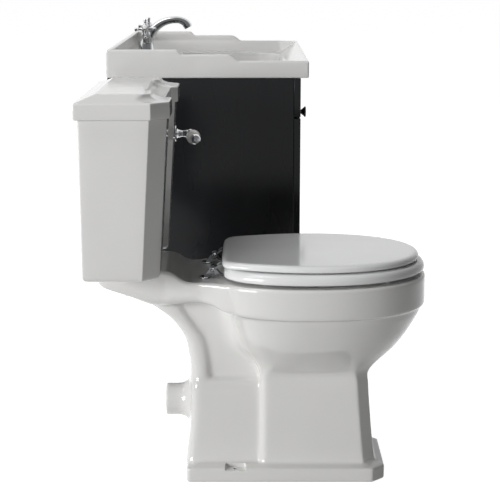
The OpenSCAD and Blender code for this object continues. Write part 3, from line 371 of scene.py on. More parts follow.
zinc = newFinish("zincSteel")
streak = zinc.spread(zinc.noise(180.0, 4.0, (1.0, 0.06, 1.0)))
zincSteel = zinc.close(
    Base_Color=zinc.between(streak, (0.42, 0.43, 0.44), (0.56, 0.57, 0.58)), Metallic=1.0,
    Roughness=0.3 + streak * 0.15, Normal=zinc.bump(streak, 0.1, 0.0003))

slotFinish = {
    "glazed_china": glazedChina, "seat_plastic": mouldedSeat, "china_trim": glazedChina,
    "chrome_metal": polishedChrome, "brass_fixings": turnedBrass, "rubber_seals": sealRubber,
    "grey_plastic": greyPlastic, "white_plastic": whitePlastic, "black_plastic": blackPlastic,
    "dark_lacquer": charcoalLacquer, "black_metal": blackMetal, "grey_board": greyBoard,
    "zinc_steel": zincSteel}
nodeSlot = {part["node"]: part["material_slot"] for part in frame["record"]["subparts"]}
for name, part in frame["nodes"].items():  # every part keeps its mesh and gets its finish
    for place in part.material_slots:
        place.material = slotFinish[nodeSlot[name]]
print("finishes made:", len(slotFinish))


def dress(made, body, slot, *nodes):
    made.data.materials.clear()
    made.data.materials.append(slotFinish[slot])
    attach(made, body)
    if nodes:
        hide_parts(*nodes)
    return made


pan = {
    "voxel": 2.6,        # fineness of the casting
    "softRounds": 5,     # how far its edges are rounded
    "filletRounds": 36,  # how far the joins behind the column are filled
    "cornerRounds": 40,  # how far the join of the web and the bowl is filled
    "thin": 0.4,         # share of the faces kept
    "edgeSteps": 24,     # points along each side of the column
    "rimCentre": 445,    # from the wall to the middle of the bowl
    "bolt": (75, 85),    # from the middle and from the wall to the cistern's bolts
    "hinge": (71, 243),  # the same to the hinge posts
    "screw": (92, 302),  # the same to the floor screws
    "spigot": 146,       # height of the outlet
    "boltRoom": (26, 42),  # pocket for the bolts' wing nuts, across and along
    "hingeRoom": 30}     # pocket for the hinge nuts, across

middle = np.array([0, -pan["rimCentre"]])


def ovalAt(angles, width, front, back, n, m):  # the oval's points at given angles round its middle
    line = ovalLine(width, front, back, pan["rimCentre"], n, m, 720) - middle
    whole = 2 * math.pi
    turns = np.unwrap(np.arctan2(line[:, 1], line[:, 0])) % whole
    order = np.argsort(turns)
    radius = np.interp(angles % whole, turns[order], np.hypot(*line.T)[order], period=whole)
    return middle + np.column_stack([radius * np.cos(angles), radius * np.sin(angles)])


def columnLine(w, front, back, cut, rear, edge):  # a box with its two front corners cut off
    right = [(w - cut, -front), (w, -front + cut), (w, -back)]
    corners = [(-x, y) for x, y in right[::-1]] + right
    return roundedLine(corners, [rear, edge, edge, edge, edge, rear], 6, pan["edgeSteps"])


def angleOf(line):
    return np.arctan2(*(line - middle).T[::-1])


# height, half width, front, back, corner cut, how far the box has turned oval, squareness of the front
skinRows = curveThrough([
    [27, 84, 593, 351, 26, 0, 2.3], [40, 83.6, 590, 352, 25, 0, 2.3], [60, 83, 587.4, 353, 24.5, 0, 2.3],
    [85, 82.2, 584.4, 353.5, 24, 0, 2.3], [110, 81.4, 582, 354, 24, 0, 2.3],
    [140, 80.6, 579.6, 354, 24, 0, 2.3], [170, 80, 577, 354, 24, 0, 2.3],
    [195, 79.4, 575.4, 354, 24, 0, 2.3], [209, 79, 574, 354, 24, 0, 2.3],
    [214, 79, 573.6, 353.6, 24.5, 0, 2.3], [219, 79.8, 574.6, 352.6, 26, 0.02, 2.3],
    [227, 84, 580, 350, 31, 0.1, 2.3], [237, 92.5, 591, 345, 39, 0.26, 2.3],
    [250, 104, 608, 335, 52, 0.5, 2.3], [262, 115, 623, 325, 64, 0.72, 2.3],
    [275, 127, 636, 315, 76, 0.9, 2.3], [300, 147.5, 654.5, 306, 100, 1, 2.28],
    [325, 163, 669.5, 301, 110, 1, 2.25], [345, 174, 680, 295, 120, 1, 2.25],
    [358, 179.5, 684, 289, 130, 1, 2.25]], 4)
skin = []
for z, w, front, back, cut, turned, n in skinRows:
    box = columnLine(w, front, back, cut, 13 + 60 * turned, 3 + 60 * turned)
    oval = ovalAt(angleOf(box), w, front, back, n, 4.2)
    skin.append(level(box + (oval - box) * turned, z))
around = angleOf(skin[-1][:, :2])
# height, half width, front, back, squareness of the front
rimOutside = [
    [360.8, 181, 685, 285, 2.25], [361.4, 186, 688.8, 280, 2.25], [364, 189.3, 690.8, 274, 2.25],
    [372, 190, 691, 271, 2.25], [392, 190, 691, 266, 2.25], [412, 190, 691, 262, 2.25],
    [419.4, 189.8, 690.8, 262, 2.25], [422.8, 188.4, 689.4, 263, 2.25], [424, 185.6, 686.5, 266, 2.25]]
bowlInside = [
    [424, 157, 656, 336, 2.2], [422.6, 155, 654, 337.5, 2.2], [419, 154, 653, 339, 2.2],
    [392, 153, 652, 340, 2.2], [388.5, 155, 654, 338, 2.2], [386.5, 162, 663, 333, 2.25],
    [380, 164, 665, 332, 2.25], [372, 163, 664, 332, 2.25]]
bowlDeep = curveThrough([
    [366, 161, 662, 333, 2.2], [340, 152, 652, 338, 2.2], [300, 131, 632, 346, 2.2],
    [260, 102, 594, 354, 2.2], [228, 72, 546, 361, 2.2], [202, 53, 502, 366, 2.2],
    [184, 42, 474, 369, 2.2], [177, 33, 460, 376, 2.2]], 4)


def ovalRows(rows, m):
    return [level(ovalAt(around, w, front, back, n, m), z) for z, w, front, back, n in rows]


bowl = loftShell(skin + ovalRows(rimOutside, 4.6) + ovalRows(np.vstack([bowlInside, bowlDeep]), 2.4))

plinth = [(-106, -202), (-106, -583), (-80, -609), (80, -609), (106, -583), (106, -202)]
foot = loftShell([
    level(roundedLine(insetLine(plinth, i), [7, 3, 3, 3, 3, 7], 5, 8), z)
    for i, z in [(0.8, 0), (0, 0.8), (0, 27.5), (0.7, 29.3), (2.4, 30), (10, 31), (19, 32.6), (30, 34)]])

# from the wall, half width, top, foot of the upright side, underside
neckRows = curveThrough([
    [29, 97, 443, 422, 410], [38, 99.5, 443, 412, 404], [54, 101, 443, 405, 398.5], [90, 101, 443, 395, 385],
    [130, 101.2, 443, 389, 364], [159, 102, 442.5, 390, 360], [170, 104, 441, 392, 361],
    [181, 106, 436.5, 395, 362], [190, 108, 430.5, 397, 363], [200, 110, 424.8, 399, 364],
    [212, 113, 421.5, 401, 365], [226, 116, 421.8, 402, 366], [237, 119, 422.6, 400, 366],
    [257, 128, 423.3, 391, 365], [280, 140, 423.6, 374, 361], [300, 149, 423.6, 368, 360]], 3)


def neckRing(y, w, top, mid, low, r=6, n=2.6):  # upright sides with a round belly below
    turn, belly = np.radians(np.linspace(0, 90, 6)), np.radians(np.linspace(0, 180, 31))
    edgeX, edgeZ = w - r + r * np.sin(turn), top - r + r * np.cos(turn)
    x = np.concatenate([-edgeX, -w * power(np.cos(belly), n), edgeX[::-1]])
    z = np.concatenate([edgeZ, mid - (mid - low) * power(np.sin(belly), n), edgeZ[::-1]])
    return np.column_stack([x, np.full(len(x), -y), z])


neck = loftShell([neckRing(*row) for row in neckRows])

tubeRows = curveThrough([  # height, half width, back, front
    [392, 60, 52, 196], [380, 58, 80, 199], [368, 57, 108, 202], [356, 56, 131, 207],
    [344, 55.5, 149, 213], [330, 55, 167, 221], [312, 55, 182, 233], [296, 55, 193, 245],
    [277, 55, 200.5, 251], [258, 55.5, 204, 255], [242, 56, 206.5, 257], [216, 58, 209, 258],
    [190, 60, 206.5, 262], [150, 62, 208, 262]], 3)


def tubeLine(w, back, front, n=2.7):
    half = (front - back) / 2
    t = np.linspace(0, 2 * math.pi, 64, endpoint=False)
    return np.column_stack([w * power(np.cos(t), n), half * power(np.sin(t), n) - (front + back) / 2])


tube = loftShell([level(tubeLine(w, b, f), z) for z, w, b, f in tubeRows[::-1]])

webRows = curveThrough([  # height, back, where the bowl starts, how far it flares there
    [150, 236, 354, 0], [190, 236, 354, 0], [216, 236, 353, 0], [242, 232, 341, 0.1], [262, 230, 325, 0.5],
    [277, 228, 314, 0.9], [296, 221, 307, 1], [312, 211, 304, 1], [330, 198, 300, 1], [344, 188, 295, 1],
    [356, 178, 290, 1], [369, 166, 286, 1]], 2)


def webLine(back, bowl, flare):
    side = [(46, back), (46, bowl - 30), (46 + 3 * flare, bowl - 16), (46 + 11 * flare, bowl - 5),
            (46 + 32 * flare, bowl + 7), (46 + 32 * flare, bowl + 40)]
    return np.array([(-x, -y) for x, y in side] + [(x, -y) for x, y in side[::-1]], float)


web = loftShell([level(webLine(back, bowl, flare), z) for z, back, bowl, flare in webRows])

casingRows = curveThrough([  # height, half width, back
    [27, 76, 200], [45, 72.5, 201.5], [70, 70, 204.5], [100, 68.5, 208], [130, 67.5, 210], [160, 66.5, 211],
    [185, 65, 211], [197, 62.5, 212], [204, 58, 215], [208, 50, 221]], 3)
casingFront = 370  # hidden inside the column


def casingLine(w, back):
    corners = [(-w, -back), (-w, -casingFront), (w, -casingFront), (w, -back)]
    return roundedLine(corners, [16, 8, 8, 16], 6, 6)


casing = loftShell([level(casingLine(w, b), z) for z, w, b in casingRows])

lieBack = Matrix.Translation((0, 0, pan["spigot"])) @ Matrix.Rotation(math.pi / 2, 4, "X")
spigotProfile = [(31.8, 157), (33, 157.4), (33.4, 159), (33.4, 186), (35, 193), (38.5, 200), (45, 207),
                 (46, 236)]
spigot = spinShell(spigotProfile, 72, lieBack)

panCast = makeObject("panCasting", bowl, foot, neck, tube, web, casing, spigot)
fuse(panCast, pan["voxel"], pan["softRounds"])


def rising(values, start, reach):  # 0 before the start, 1 after the reach
    return np.clip((values - start) / reach, 0, 1)


def behindColumn(points):  # where the joins of the casting are widest
    y, z = points[:, 1], points[:, 2]
    along = rising(y, -385, 40) * rising(-y, 168, 14)
    height = rising(z, 32, 14) * rising(-z, -414, 22)
    return along * height


def atBowlCorner(points):  # where the web runs into the bowl and the column
    y, z = points[:, 1], points[:, 2]
    heights = [60, 237, 250, 262, 275, 300, 325, 345, 358]
    corner = np.interp(z, heights, [354, 345, 335, 325, 315, 306, 301, 295, 289])
    near = np.clip(1.6 - np.abs(-y - corner) / 14, 0, 1)
    return near * rising(z, 196, 20) * rising(-z, -368, 12)


softenWhere(panCast, behindColumn, pan["filletRounds"])
softenWhere(panCast, atBowlCorner, pan["cornerRounds"])


def upright(radius, low, high, count, x, y):  # an upright hole at a place given from the middle and the wall
    return spinShell([(radius, low), (radius, high)], count, Matrix.Translation((x, -y, 0)))


boltX, boltY = pan["bolt"]
hingeX, hingeY = pan["hinge"]
screwX, screwY = pan["screw"]
across, along = pan["boltRoom"]
holes = [upright(6, 330, 460, 24, s * boltX, boltY) for s in (-1, 1)]
holes += [upright(4, 330, 460, 24, s * hingeX, hingeY) for s in (-1, 1)]
for s in (-1, 1):
    holes.append(boxShell((s * boltX - across / 2, -boltY - along / 2, 355),
                          (s * boltX + across / 2, -boltY + along / 2, 405)))
holes += [upright(pan["hingeRoom"] / 2, 360, 392, 40, s * hingeX, hingeY) for s in (-1, 1)]
# the screw's pocket is open at the plinth's side
pocketLine = roundedLine([(82, -324), (136, -324), (136, -281), (82, -281)], 5, 4, 2)
pocket = loftShell([level(pocketLine, 25), level(pocketLine, 60)])
screwHole = upright(4.5, -3, 25, 24, screwX, screwY)
holes += [mirrored(pocket), mirrored(screwHole), pocket, screwHole]
trapTurn = Matrix.Translation((0, -226, 242)) @ Matrix.Rotation(math.radians(109.6), 4, "X")
holes += [spinShell([(27, 140), (27, 232)], 48, lieBack), spinShell([(18, 100), (18, 160)], 40, trapTurn)]
holes += [upright(34.3, 434, 460, 48, 0, boltY), upright(27, 400, 440, 48, 0, boltY)]  # the flush inlet
cutAway(panCast, *holes)
thin(panCast, pan["thin"])
shade(panCast, 50)
dress(panCast, "fixed", "glazed_china", "pan")
print("pan cast:", len(panCast.data.polygons), "faces")


cistern = {
    "edge": 3.5,     # radius of the upright edges
    "foot": 9,       # radius of the lower edge
    "wall": 12,      # thickness of the walls
    "bottom": 444, "rim": 769.7,
    "top": (221.5, 176),  # half width and front at the rim
    "taper": (15, 19),    # how much smaller they are at the bottom
    "back": 10.5, "cut": 31.5, "nose": 107, "recess": 12,
    "lever": (150, 686)}  # from the middle, and height


def stepped(half, back, front, cut, nose, deep):  # plan with cut corners, two pilasters and a recess
    right = [(half, -back), (half, -front + cut), (half - cut, -front), (nose, -front),
             (nose - deep, -front + deep)]
    return [(-x, y) for x, y in right] + right[::-1]


def tankPlan(z):
    t = (cistern["rim"] - z) / (cistern["rim"] - cistern["bottom"])
    half, front = (size - less * t for size, less in zip(cistern["top"], cistern["taper"]))
    return stepped(half, cistern["back"], front, cistern["cut"], cistern["nose"], cistern["recess"])


def tankRing(z, inset, radius):
    return level(roundedLine(insetLine(tankPlan(z), inset), radius, 6, 6), z)


bottom, rim, edge, wall = cistern["bottom"], cistern["rim"], cistern["edge"], cistern["wall"]
footRadius, footSteps = cistern["foot"], 6
rows = [tankRing(bottom, 22, 2)]
for k in range(footSteps + 1):
    turn = math.pi / 2 * k / footSteps
    rows.append(tankRing(bottom + footRadius * (1 - math.cos(turn)), footRadius * (1 - math.sin(turn)), edge))
rows += [tankRing(z, 0, edge) for z in (470, 540, 620, 700, 766)]
rows += [tankRing(rim - 1.1, 0.3, 3.2), tankRing(rim, 1.4, 3)]
rows += [tankRing(rim, wall - 1.4, 3), tankRing(rim - 1.1, wall - 0.3, 3)]
rows += [tankRing(z, wall, 3) for z in (764, 690, 600, 520, 470)]
rows += [tankRing(460, 14, 3), tankRing(458, 20, 3)]
tank = makeObject("cisternTank", loftShell(rows))
leverX, leverZ = cistern["lever"]
leverHole = Matrix.Translation((leverX, 0, leverZ)) @ Matrix.Rotation(math.pi / 2, 4, "X")
# place and radius of the holes for the flush valve, the bolts and the fill valve
valveHoles = ((0, 22), (-boltX, 5), (boltX, 5), (152, 12.4))
cutAway(tank, *[upright(radius, 440, 466, 32, x, boltY) for x, radius in valveHoles])
cutAway(tank, spinShell([(11, 130), (11, 200)], 32, leverHole))
dress(shade(tank, 35), "fixed", "glazed_china", "cistern_body")

lid = {
    "plan": (231, 3, 181.5, 34, 109, 13),      # half width, back, front, corner cut, nose, recess
    "inside": (223.5, 11, 177.5, 31.5, 107, 12),  # the same for the room over the tank
    "low": 757.5, "high": 789,  # of the upright band
    "slope": 38,    # width of the sloping border
    "rise": 14,     # how much higher the plateau lies
    "lip": 10,      # flat border before the cove
    "step": 1.6}    # distance between the outlines that follow the slope


def lidPlan(inset):
    return insetLine(stepped(*lid["plan"]), inset)


def lidRing(inset, z, radius=2.6):
    return level(roundedLine(lidPlan(inset), radius, 5, 26), z)


def frontDistance(points):  # how far in from the cut corners and the stepped front
    plan = [np.array(c) for c in stepped(*lid["plan"])]
    nearest = np.full(len(points), 1e9)
    for a, b in zip(plan[1:-1], plan[2:]):
        length = np.linalg.norm(b - a)
        along = (b - a) / length
        t = np.clip((points - a) @ along, 0, length)
        nearest = np.minimum(nearest, np.linalg.norm(points - a - t[:, None] * along, axis=1))
    return nearest


def cove(distance, lipRise=1.2, bend=1.7):  # a flat lip, then a hollow that climbs to the plateau
    lip = lid["lip"]
    t = np.clip((distance - lip) / (lid["slope"] - lip), 0, 1)
    hollow = 1 - np.sqrt(np.clip(1 - t ** bend, 0, 1))
    return lipRise * np.clip(distance / lip, 0, 1) + (lid["rise"] - lipRise) * hollow


low, high = lid["low"], lid["high"]
rows = [lidRing(14, low, 2), lidRing(2.4, low), lidRing(0.7, low + 0.7), lidRing(0, low + 2.5),
        lidRing(0, 770), lidRing(0, high - 2.6), lidRing(0.5, high - 0.9), lidRing(1.6, high)]
inset = 2.6
while inset < lid["slope"] + 6:
    ring = lidRing(inset, high)
    sideSlope = lid["rise"] * min(1, (inset - 1.6) / (lid["slope"] - 1.6))
    ring[:, 2] += np.minimum(sideSlope, cove(frontDistance(ring[:, :2])))
    rows.append(ring)
    inset += lid["step"]
lidCast = makeObject("cisternLid", loftShell(rows))
hollow = [level(roundedLine(insetLine(stepped(*lid["inside"]), i), 2, 3, 4), z)
          for i, z in ((0, 756), (0, 770), (18, 770.01), (20, 777), (24, 778))]
cutAway(lidCast, loftShell(hollow))
change(lidCast, "SMOOTH", factor=0.5, iterations=2)
dress(shade(lidCast, 42), "cistern_top", "glazed_china", "cistern_lid")
print("cistern made")


seatShape = {
    "count": 168,  # points round each outline
    "ring": (184.5, 689, 455, 2.12),  # half width, front, middle and squareness of the front
    "lid": (173, 677, 458, 2.15),     # the same for the lid
    # half width, front, back, middle, squareness in front and behind
    "hole": (118.5, 623, 345, 470, 2.1, 2.4),
    "ringRear": [(184.5, 455), (184, 428), (181.4, 400), (176, 371), (167.4, 344), (157, 322), (145, 305.5),
                 (131, 292.5), (118, 284.6), (103, 280.4), (80, 279.2), (40, 279), (0, 279)],
    "lidRear": [(173, 458), (172, 429), (168.4, 400), (163, 374), (157, 351), (150.6, 330), (144, 311),
                (138, 296), (131.5, 286), (122, 280), (104, 276.8), (60, 275.7), (0, 275.5)]}


def seatLine(i, width, front, centre, n, rear):  # an oval front and a squarer rear, drawn in by i
    count, back = seatShape["count"], rear[-1][1]
    half = count // 2 + 1
    line = ovalLine(width - i, front - i, back + i, centre, n, 5, count)
    curve = curveThrough(rear + [(-x, y) for x, y in rear[-2::-1]], 8)
    along = np.concatenate([[0], np.cumsum(np.hypot(*np.diff(curve, axis=0).T))])
    at = np.linspace(0, along[-1], half)
    x, y = np.interp(at, along, curve[:, 0]), np.interp(at, along, curve[:, 1])
    line[:half, 0] = x * (width - i) / width
    line[:half, 1] = -centre + (centre - y) * (centre - back - i) / (centre - back)
    return line


def ringLine(i):
    return seatLine(i, *seatShape["ring"], seatShape["ringRear"])


def lidLine(i):
    return seatLine(i, *seatShape["lid"], seatShape["lidRear"])


def holeLine(i):
    width, front, back, centre, n, m = seatShape["hole"]
    return ovalLine(width - i, front - i, back + i, centre, n, m, seatShape["count"])


# how far each outline is drawn in, and its height
outside = [(8, 430), (3.6, 430.6), (1.2, 432), (0.2, 434.5), (0, 437), (0.4, 440.5), (1.6, 444), (3.6, 447),
           (6.6, 449.4), (10.6, 450.7), (16, 451)]
inside = [(-16, 451), (-10, 450.3), (-5.6, 448.6), (-2.4, 445.8), (-0.5, 441.6), (0, 437.6), (-1, 433.4),
          (-3.4, 430.9)]
section = [level(holeLine(-7), 430)] + [level(ringLine(i), z) for i, z in outside]
section += [level(holeLine(i), z) for i, z in inside]
seatRing = makeObject("seatRing", hoopShell(section))
dress(shade(seatRing, 60), "ring", "seat_plastic", "seat_ring")

lidRows = [(30, 454.4), (20, 454.2), (12, 453.6), (8, 453.5), (4.4, 453.6), (1.8, 454.4), (0.5, 455.8),
           (0, 457.6), (0.1, 459.6), (0.8, 461.8), (2.2, 464), (4.4, 465.8), (7.4, 466.9), (11, 467.3),
           (16, 467.45), (26, 467.5), (60, 467.5), (110, 467.5)]
seatLid = makeObject("seatLid", loftShell([level(lidLine(i), z) for i, z in lidRows]))
dress(shade(seatLid, 60), "cover", "seat_plastic", "seat_lid")
print("seat made")


basin = {
    "voxel": 2.6, "rounds": 5, "thin": 0.35,  # fineness, softness of the edges, share of the faces kept
    "left": 436, "right": 1236, "middle": 836, "front": 469,
    "low": 779, "back": 844.5,    # heights of the underside and the rear wall
    "step": 833.5, "rim": 818.5,  # heights of the side walls and the front
    "ledge": 791,       # height of the tap's ledge and of the lowest part of the tray
    "tapHole": (66, 17.5), "wasteHole": (262, 23)}  # from the wall, and radius

low, back, step, rim = basin["low"], basin["back"], basin["step"], basin["rim"]
middleX, ledge = basin["middle"], basin["ledge"]
profile = [(0, low), (0, back), (-163.7, back), (-174, step), (-284, step), (-292, 829), (-306, rim),
           (-basin["front"], rim), (-basin["front"], low)]
profileLine = roundedLine(profile[::-1], [2, 2.5, 5, 3, 4, 4, 4, 2, 2], 5, 6)
sides = [np.column_stack([np.full(len(profileLine), x), profileLine])
         for x in np.linspace(basin["left"], basin["right"], 24)]


def trayRing(inset, front, back, z):
    left, right, nose = basin["left"] + inset, basin["right"] - inset, -basin["front"] + front
    return level(roundedLine([(left, -back), (left, nose), (right, nose), (right, -back)], 2, 3, 10), z)


def bowlRing(grow, y1, y2, x, z, n=5.5, count=120):
    half, w = (y2 - y1) / 2 + grow, x + grow
    t = np.linspace(0, 2 * math.pi, count, endpoint=False)
    line = np.column_stack([middleX + w * power(np.cos(t), n), half * power(np.sin(t), n) - (y1 + y2) / 2])
    return level(line, z)


def bowlRows(grow, top):  # rear, front, half width and height of the sink's bowl
    rows = curveThrough([[222, 296, 60, 673 - grow], [184, 344, 190, 682 - grow], [158, 378, 250, 697 - grow],
                         [142, 396, 276, 721 - grow], [134, 408, 288, 755 - grow], [129, 413, 294, low],
                         [127, 416, 297, top]], 4)
    return loftShell([bowlRing(grow, *row) for row in rows])


basinCast = makeObject("basinCasting", loftShell(sides))
bowlSkin = makeObject("bowlSkin", bowlRows(11, low + 3))
change(basinCast, "BOOLEAN", operation="UNION", object=bowlSkin, solver="MANIFOLD")
bpy.data.objects.remove(bowlSkin)
trayCut = loftShell([trayRing(49, 46, 28, ledge), trayRing(49, 46, 28, ledge + 0.2), trayRing(13, 7, 13, rim),
                     trayRing(13, -12, 13, rim + 0.1), trayRing(13, -12, 13, 860)])
tapHoleY, tapHoleRadius = basin["tapHole"]
wasteY, wasteRadius = basin["wasteHole"]
cutAway(basinCast, trayCut, bowlRows(0, ledge + 1), upright(tapHoleRadius, 770, 800, 32, middleX, tapHoleY),
        upright(wasteRadius, 620, 690, 32, middleX, wasteY))
fuse(basinCast, basin["voxel"], basin["rounds"])
thin(basinCast, basin["thin"])
dress(shade(basinCast, 50), "fixed", "glazed_china", "basin")
print("basin cast:", len(basinCast.data.polygons), "faces")


tap = {
    "voxel": 0.9, "rounds": 4,        # fineness, softness of the joins
    "middle": 836.0, "foot": 791.0,   # place along the basin, height of its ledge
    "tilt": math.radians(30),         # how far the side branches lean up
    "valve": (67, 83, 62),            # the valves' distance from the wall, height and reach to the side
    "mouth": (172.2, 86.8)}           # the nozzle's distance from the wall and height

spoutRows = curveThrough([  # distance from the wall, height, half depth, half width
    [64.5, 4, 25, 24.5], [64.5, 14, 24, 23.5], [65.5, 26, 21, 20], [67, 40, 17.5, 16.5],
    [70.5, 54, 14.8, 14], [77, 68, 12.6, 12], [86.5, 80, 11.2, 11], [98, 90, 10.2, 10.2],
    [112, 97.8, 9.4, 9.6], [128, 102.4, 8.8, 9.2], [146, 103.6, 8.6, 9.2], [157, 101.4, 9, 9.4],
    [165.5, 97, 9.8, 9.8], [171, 91.5, 10.6, 10.4], [173.4, 86.8, 11, 10.8]], 3)
spoutRings = []
around = np.linspace(0, 2 * math.pi, 56, endpoint=False)
for i, (y, z, deep, wide) in enumerate(spoutRows):  # the outlines turn with the spout, upright at its foot
    before, after = spoutRows[max(0, i - 1)], spoutRows[min(len(spoutRows) - 1, i + 1)]
    turn = math.pi / 2 if i < 3 else math.atan2(after[1] - before[1], after[0] - before[0])
    u, v = deep * np.cos(around), wide * np.sin(around)
    along, up = 1 - y - u * math.sin(turn), tap["foot"] + z - u * math.cos(turn)
    spoutRings.append(np.column_stack([tap["middle"] + v, along, up]))
footTurn = Matrix.Translation((tap["middle"], -tapHoleY, tap["foot"]))
footProfile = [(24, 0.3), (24.8, 0.9), (25, 2), (24.6, 4.2), (22.6, 5.6), (22.5, 6.6), (23.2, 8), (23.6, 10),
               (23.6, 17)]
tilt = tap["tilt"]
valveY, valveUp, valveOut = tap["valve"]
reach = valveOut / math.cos(tilt)
branch = [(10.5, 0), (10.2, 24), (10.2, 34), (10.9, 40), (11.2, reach - 27), (10.6, reach - 24),
          (9.6, reach - 23.4)]
branches = []
for s in (-1, 1):
    start = Matrix.Translation((tap["middle"], -valveY, tap["foot"] + valveUp - valveOut * math.tan(tilt)))
    branches.append(spinShell(branch, 40, start @ Matrix.Rotation(s * (math.pi / 2 - tilt), 4, "Y")))
tapCast = makeObject("tapCasting", loftShell(spoutRings), spinShell(footProfile, 64, footTurn), *branches)
fuse(tapCast, tap["voxel"], tap["rounds"])
mouthY, mouthUp = tap["mouth"]
mouthTurn = Matrix.Rotation(math.radians(90 + 63), 4, "X")
nozzleAt = Matrix.Translation((tap["middle"], -mouthY, tap["foot"] + mouthUp)) @ mouthTurn
cutAway(tapCast, spinShell([(8.3, -10), (8.3, 10)], 32, nozzleAt))
tapStud = makeObject("tapStud", spinShell([(4.2, -46), (5, -45), (5, 3), (4, 4)], 32, footTurn))
dress(shade(tapCast, 50), "fixed", "chrome_metal", "tap_body")
dress(shade(tapStud, 40), "fixed", "chrome_metal", "tap_body")
print("tap made:", len(tapCast.data.polygons), "faces")


cabinet = {
    "left": 438.0, "right": 1234.0,
    "back": 1.5, "side": 434.0, "front": 434.3,  # from the wall
    "top": 778.7, "bottom": 319.0, "fasciaLow": 687.7, "drawerTop": 684.7,
    "board": 16.0,  # thickness
    "edge": 1.0, "frontEdge": 1.6,  # how far the edges are eased
    "knob": 657.7}  # height of the knob


def boardShell(low, high, edge=cabinet["edge"]):  # a board with all its edges eased
    corners = [(low[0], low[1]), (high[0], low[1]), (high[0], high[1]), (low[0], high[1])]
    rows = []
    for inset, z in ((1, low[2]), (0.3, low[2] + 0.3 * edge), (0, low[2] + edge), (0, high[2] - edge),
                     (0.3, high[2] - 0.3 * edge), (1, high[2])):
        rows.append(level(roundedLine(insetLine(corners, inset * edge), edge, 3, 2), z))
    return loftShell(rows)


left, right, thick = cabinet["left"], cabinet["right"], cabinet["board"]
bottom, top, side, back = cabinet["bottom"], cabinet["top"], -cabinet["side"], -cabinet["back"]
face, fasciaLow, frontEdge = -cabinet["front"], cabinet["fasciaLow"], cabinet["frontEdge"]
clear = 0.3  # gap round the rail behind the fascia
sidePanels = makeObject("sidePanels", boardShell((left, side, bottom), (left + thick, back, top)),
                        boardShell((right - thick, side, bottom), (right, back, top)))
bottomPanel = makeObject("bottomPanel",
                         boardShell((left + thick, side, bottom), (right - thick, back, bottom + thick)))
fasciaFront = boardShell((left, face - thick, fasciaLow), (right, face, top), frontEdge)
fasciaRail = boardShell((left + thick + clear, face + clear, fasciaLow + 4),
                        (right - thick - clear, face + clear + thick, fasciaLow + 38))
fascia = makeObject("topFascia", fasciaFront, fasciaRail)
drawerShell = boardShell((left, face - thick, bottom), (right, face, cabinet["drawerTop"]), frontEdge)
drawerFace = makeObject("drawerFace", drawerShell)
for made, body, node in ((sidePanels, "fixed", "side_panels"), (bottomPanel, "fixed", "bottom_panel"),
                         (fascia, "fixed", "top_fascia"), (drawerFace, "drawer", "drawer_front")):
    dress(shade(made, 40), body, "dark_lacquer", node)

knobAt = Matrix.Translation((middleX, 0, cabinet["knob"])) @ Matrix.Rotation(math.pi / 2, 4, "X")
start = cabinet["front"] + thick  # the front's face
knobProfile = [  # radius, distance from the front
    (0, 0.3), (5.4, 0.3), (6.1, 0.8), (6.2, 1.6), (5.4, 2.4), (4.4, 3.2), (3.6, 4.6), (3.3, 6.4), (3.3, 9),
    (3.7, 11), (4.6, 13.4), (6, 16), (7.6, 18.4), (9.6, 20.9), (12, 23.2), (13.4, 24.4), (13.75, 25.4),
    (13.7, 26.8), (13.2, 27.7), (12.4, 28.1), (6, 28.2), (0, 28.2)]
knob = makeObject(
    "drawerKnob", spinShell([(radius, start + y) for radius, y in knobProfile], 64, knobAt),
    spinShell([(1.9, 431.3), (2, 431.8), (2, start + 2)], 24, knobAt),  # its screw
    spinShell([(4.5, 431.4), (4.5, 433.4), (3.8, 434)], 32, knobAt))    # the screw's head inside the drawer
dress(shade(knob, 40), "drawer", "black_metal", "drawer_knob")
print("cabinet made")


room = {
    "floor": (0.54, 0.54, 0.535), "floorFleck": (0.57, 0.57, 0.565),
    "floorGlow": 0.97,  # lifts the floor to white where it is seen, and leaves its shadow
    "sky": 0.045,       # light from all round
    "keyPower": 440.0, "keyPlace": (-5.14, 5.48, 1.7), "keySize": (3.6, 2.4),
    "topPower": 112.0, "topPlace": (-0.25, 1.95, 4.9), "topSize": (3.0, 3.0),
    "aim": (0.25, -0.3, 0.45)}

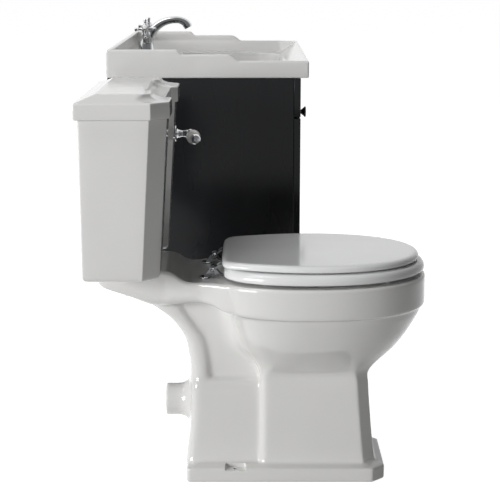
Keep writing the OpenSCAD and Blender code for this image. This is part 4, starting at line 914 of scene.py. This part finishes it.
sheet = newFinish("paleFloor")
grain = sheet.spread(sheet.noise(3.0, 2.0))
tone = sheet.between(grain, room["floor"], room["floorFleck"])
diffuse = sheet.node("ShaderNodeBsdfDiffuse", None, {"Color": tone})
strength = room["floorGlow"] * sheet.seenDirectly()
glow = sheet.node("ShaderNodeEmission", None, {"Color": (1, 1, 1, 1), "Strength": strength})
sheet.output(sheet.node("ShaderNodeAddShader", None, {0: diffuse, 1: glow}))
floorMesh = bpy.data.meshes.new("floor")
floorZ = -0.0005  # m, just under the foot
floorCorners = [(-30, -30, floorZ), (60, -30, floorZ), (60, 30, floorZ), (-30, 30, floorZ)]
floorMesh.from_pydata(floorCorners, [], [(0, 1, 2, 3)])
floor = bpy.data.objects.new("floor", floorMesh)
bpy.context.scene.collection.objects.link(floor)
floor.data.materials.append(sheet.owner)

studio = Finish(bpy.data.worlds.new("studio"))
bpy.context.scene.world = studio.owner
dim = studio.node("ShaderNodeBackground", None, {"Color": (1, 1, 1, 1), "Strength": room["sky"]})
white = studio.node("ShaderNodeBackground", None, {"Color": (1, 1, 1, 1), "Strength": 1.0})
backdrop = studio.node("ShaderNodeMixShader", None, {0: studio.seenDirectly(), 1: dim, 2: white})
studio.output(backdrop, "ShaderNodeOutputWorld")


def lamp(name, place, aim, size, power):
    light = bpy.data.lights.new(name, "AREA")
    light.shape, light.energy = "RECTANGLE", power
    light.size, light.size_y = size
    made = bpy.data.objects.new(name, light)
    made.location = place
    made.rotation_euler = (Vector(aim) - Vector(place)).to_track_quat("-Z", "Y").to_euler()
    bpy.context.scene.collection.objects.link(made)


lamp("keySoftbox", room["keyPlace"], room["aim"], room["keySize"], room["keyPower"])
lamp("topSoftbox", room["topPlace"], room["aim"], room["topSize"], room["topPower"])

view = {
    "eye": (-2.8097, -0.3297, 1.0573), "down": 11.91,  # place in m, degrees
    "focal": 1397.5, "picture": 500, "shift": 1.16,    # px
    "sensor": 36.0}                                    # mm
camera = bpy.data.cameras.new("camera")
camera.sensor_width = view["sensor"]
camera.lens = view["focal"] * view["sensor"] / view["picture"]
camera.shift_x = view["shift"] / view["picture"]
camera.clip_start, camera.clip_end = 0.05, 100.0
eye = bpy.data.objects.new("camera", camera)
eye.location = view["eye"]
eye.rotation_euler = (math.radians(90 - view["down"]), 0, math.radians(-90))
bpy.context.scene.collection.objects.link(eye)
bpy.context.scene.camera = eye
bpy.context.scene.view_settings.view_transform = "Standard"

print("scene ready")
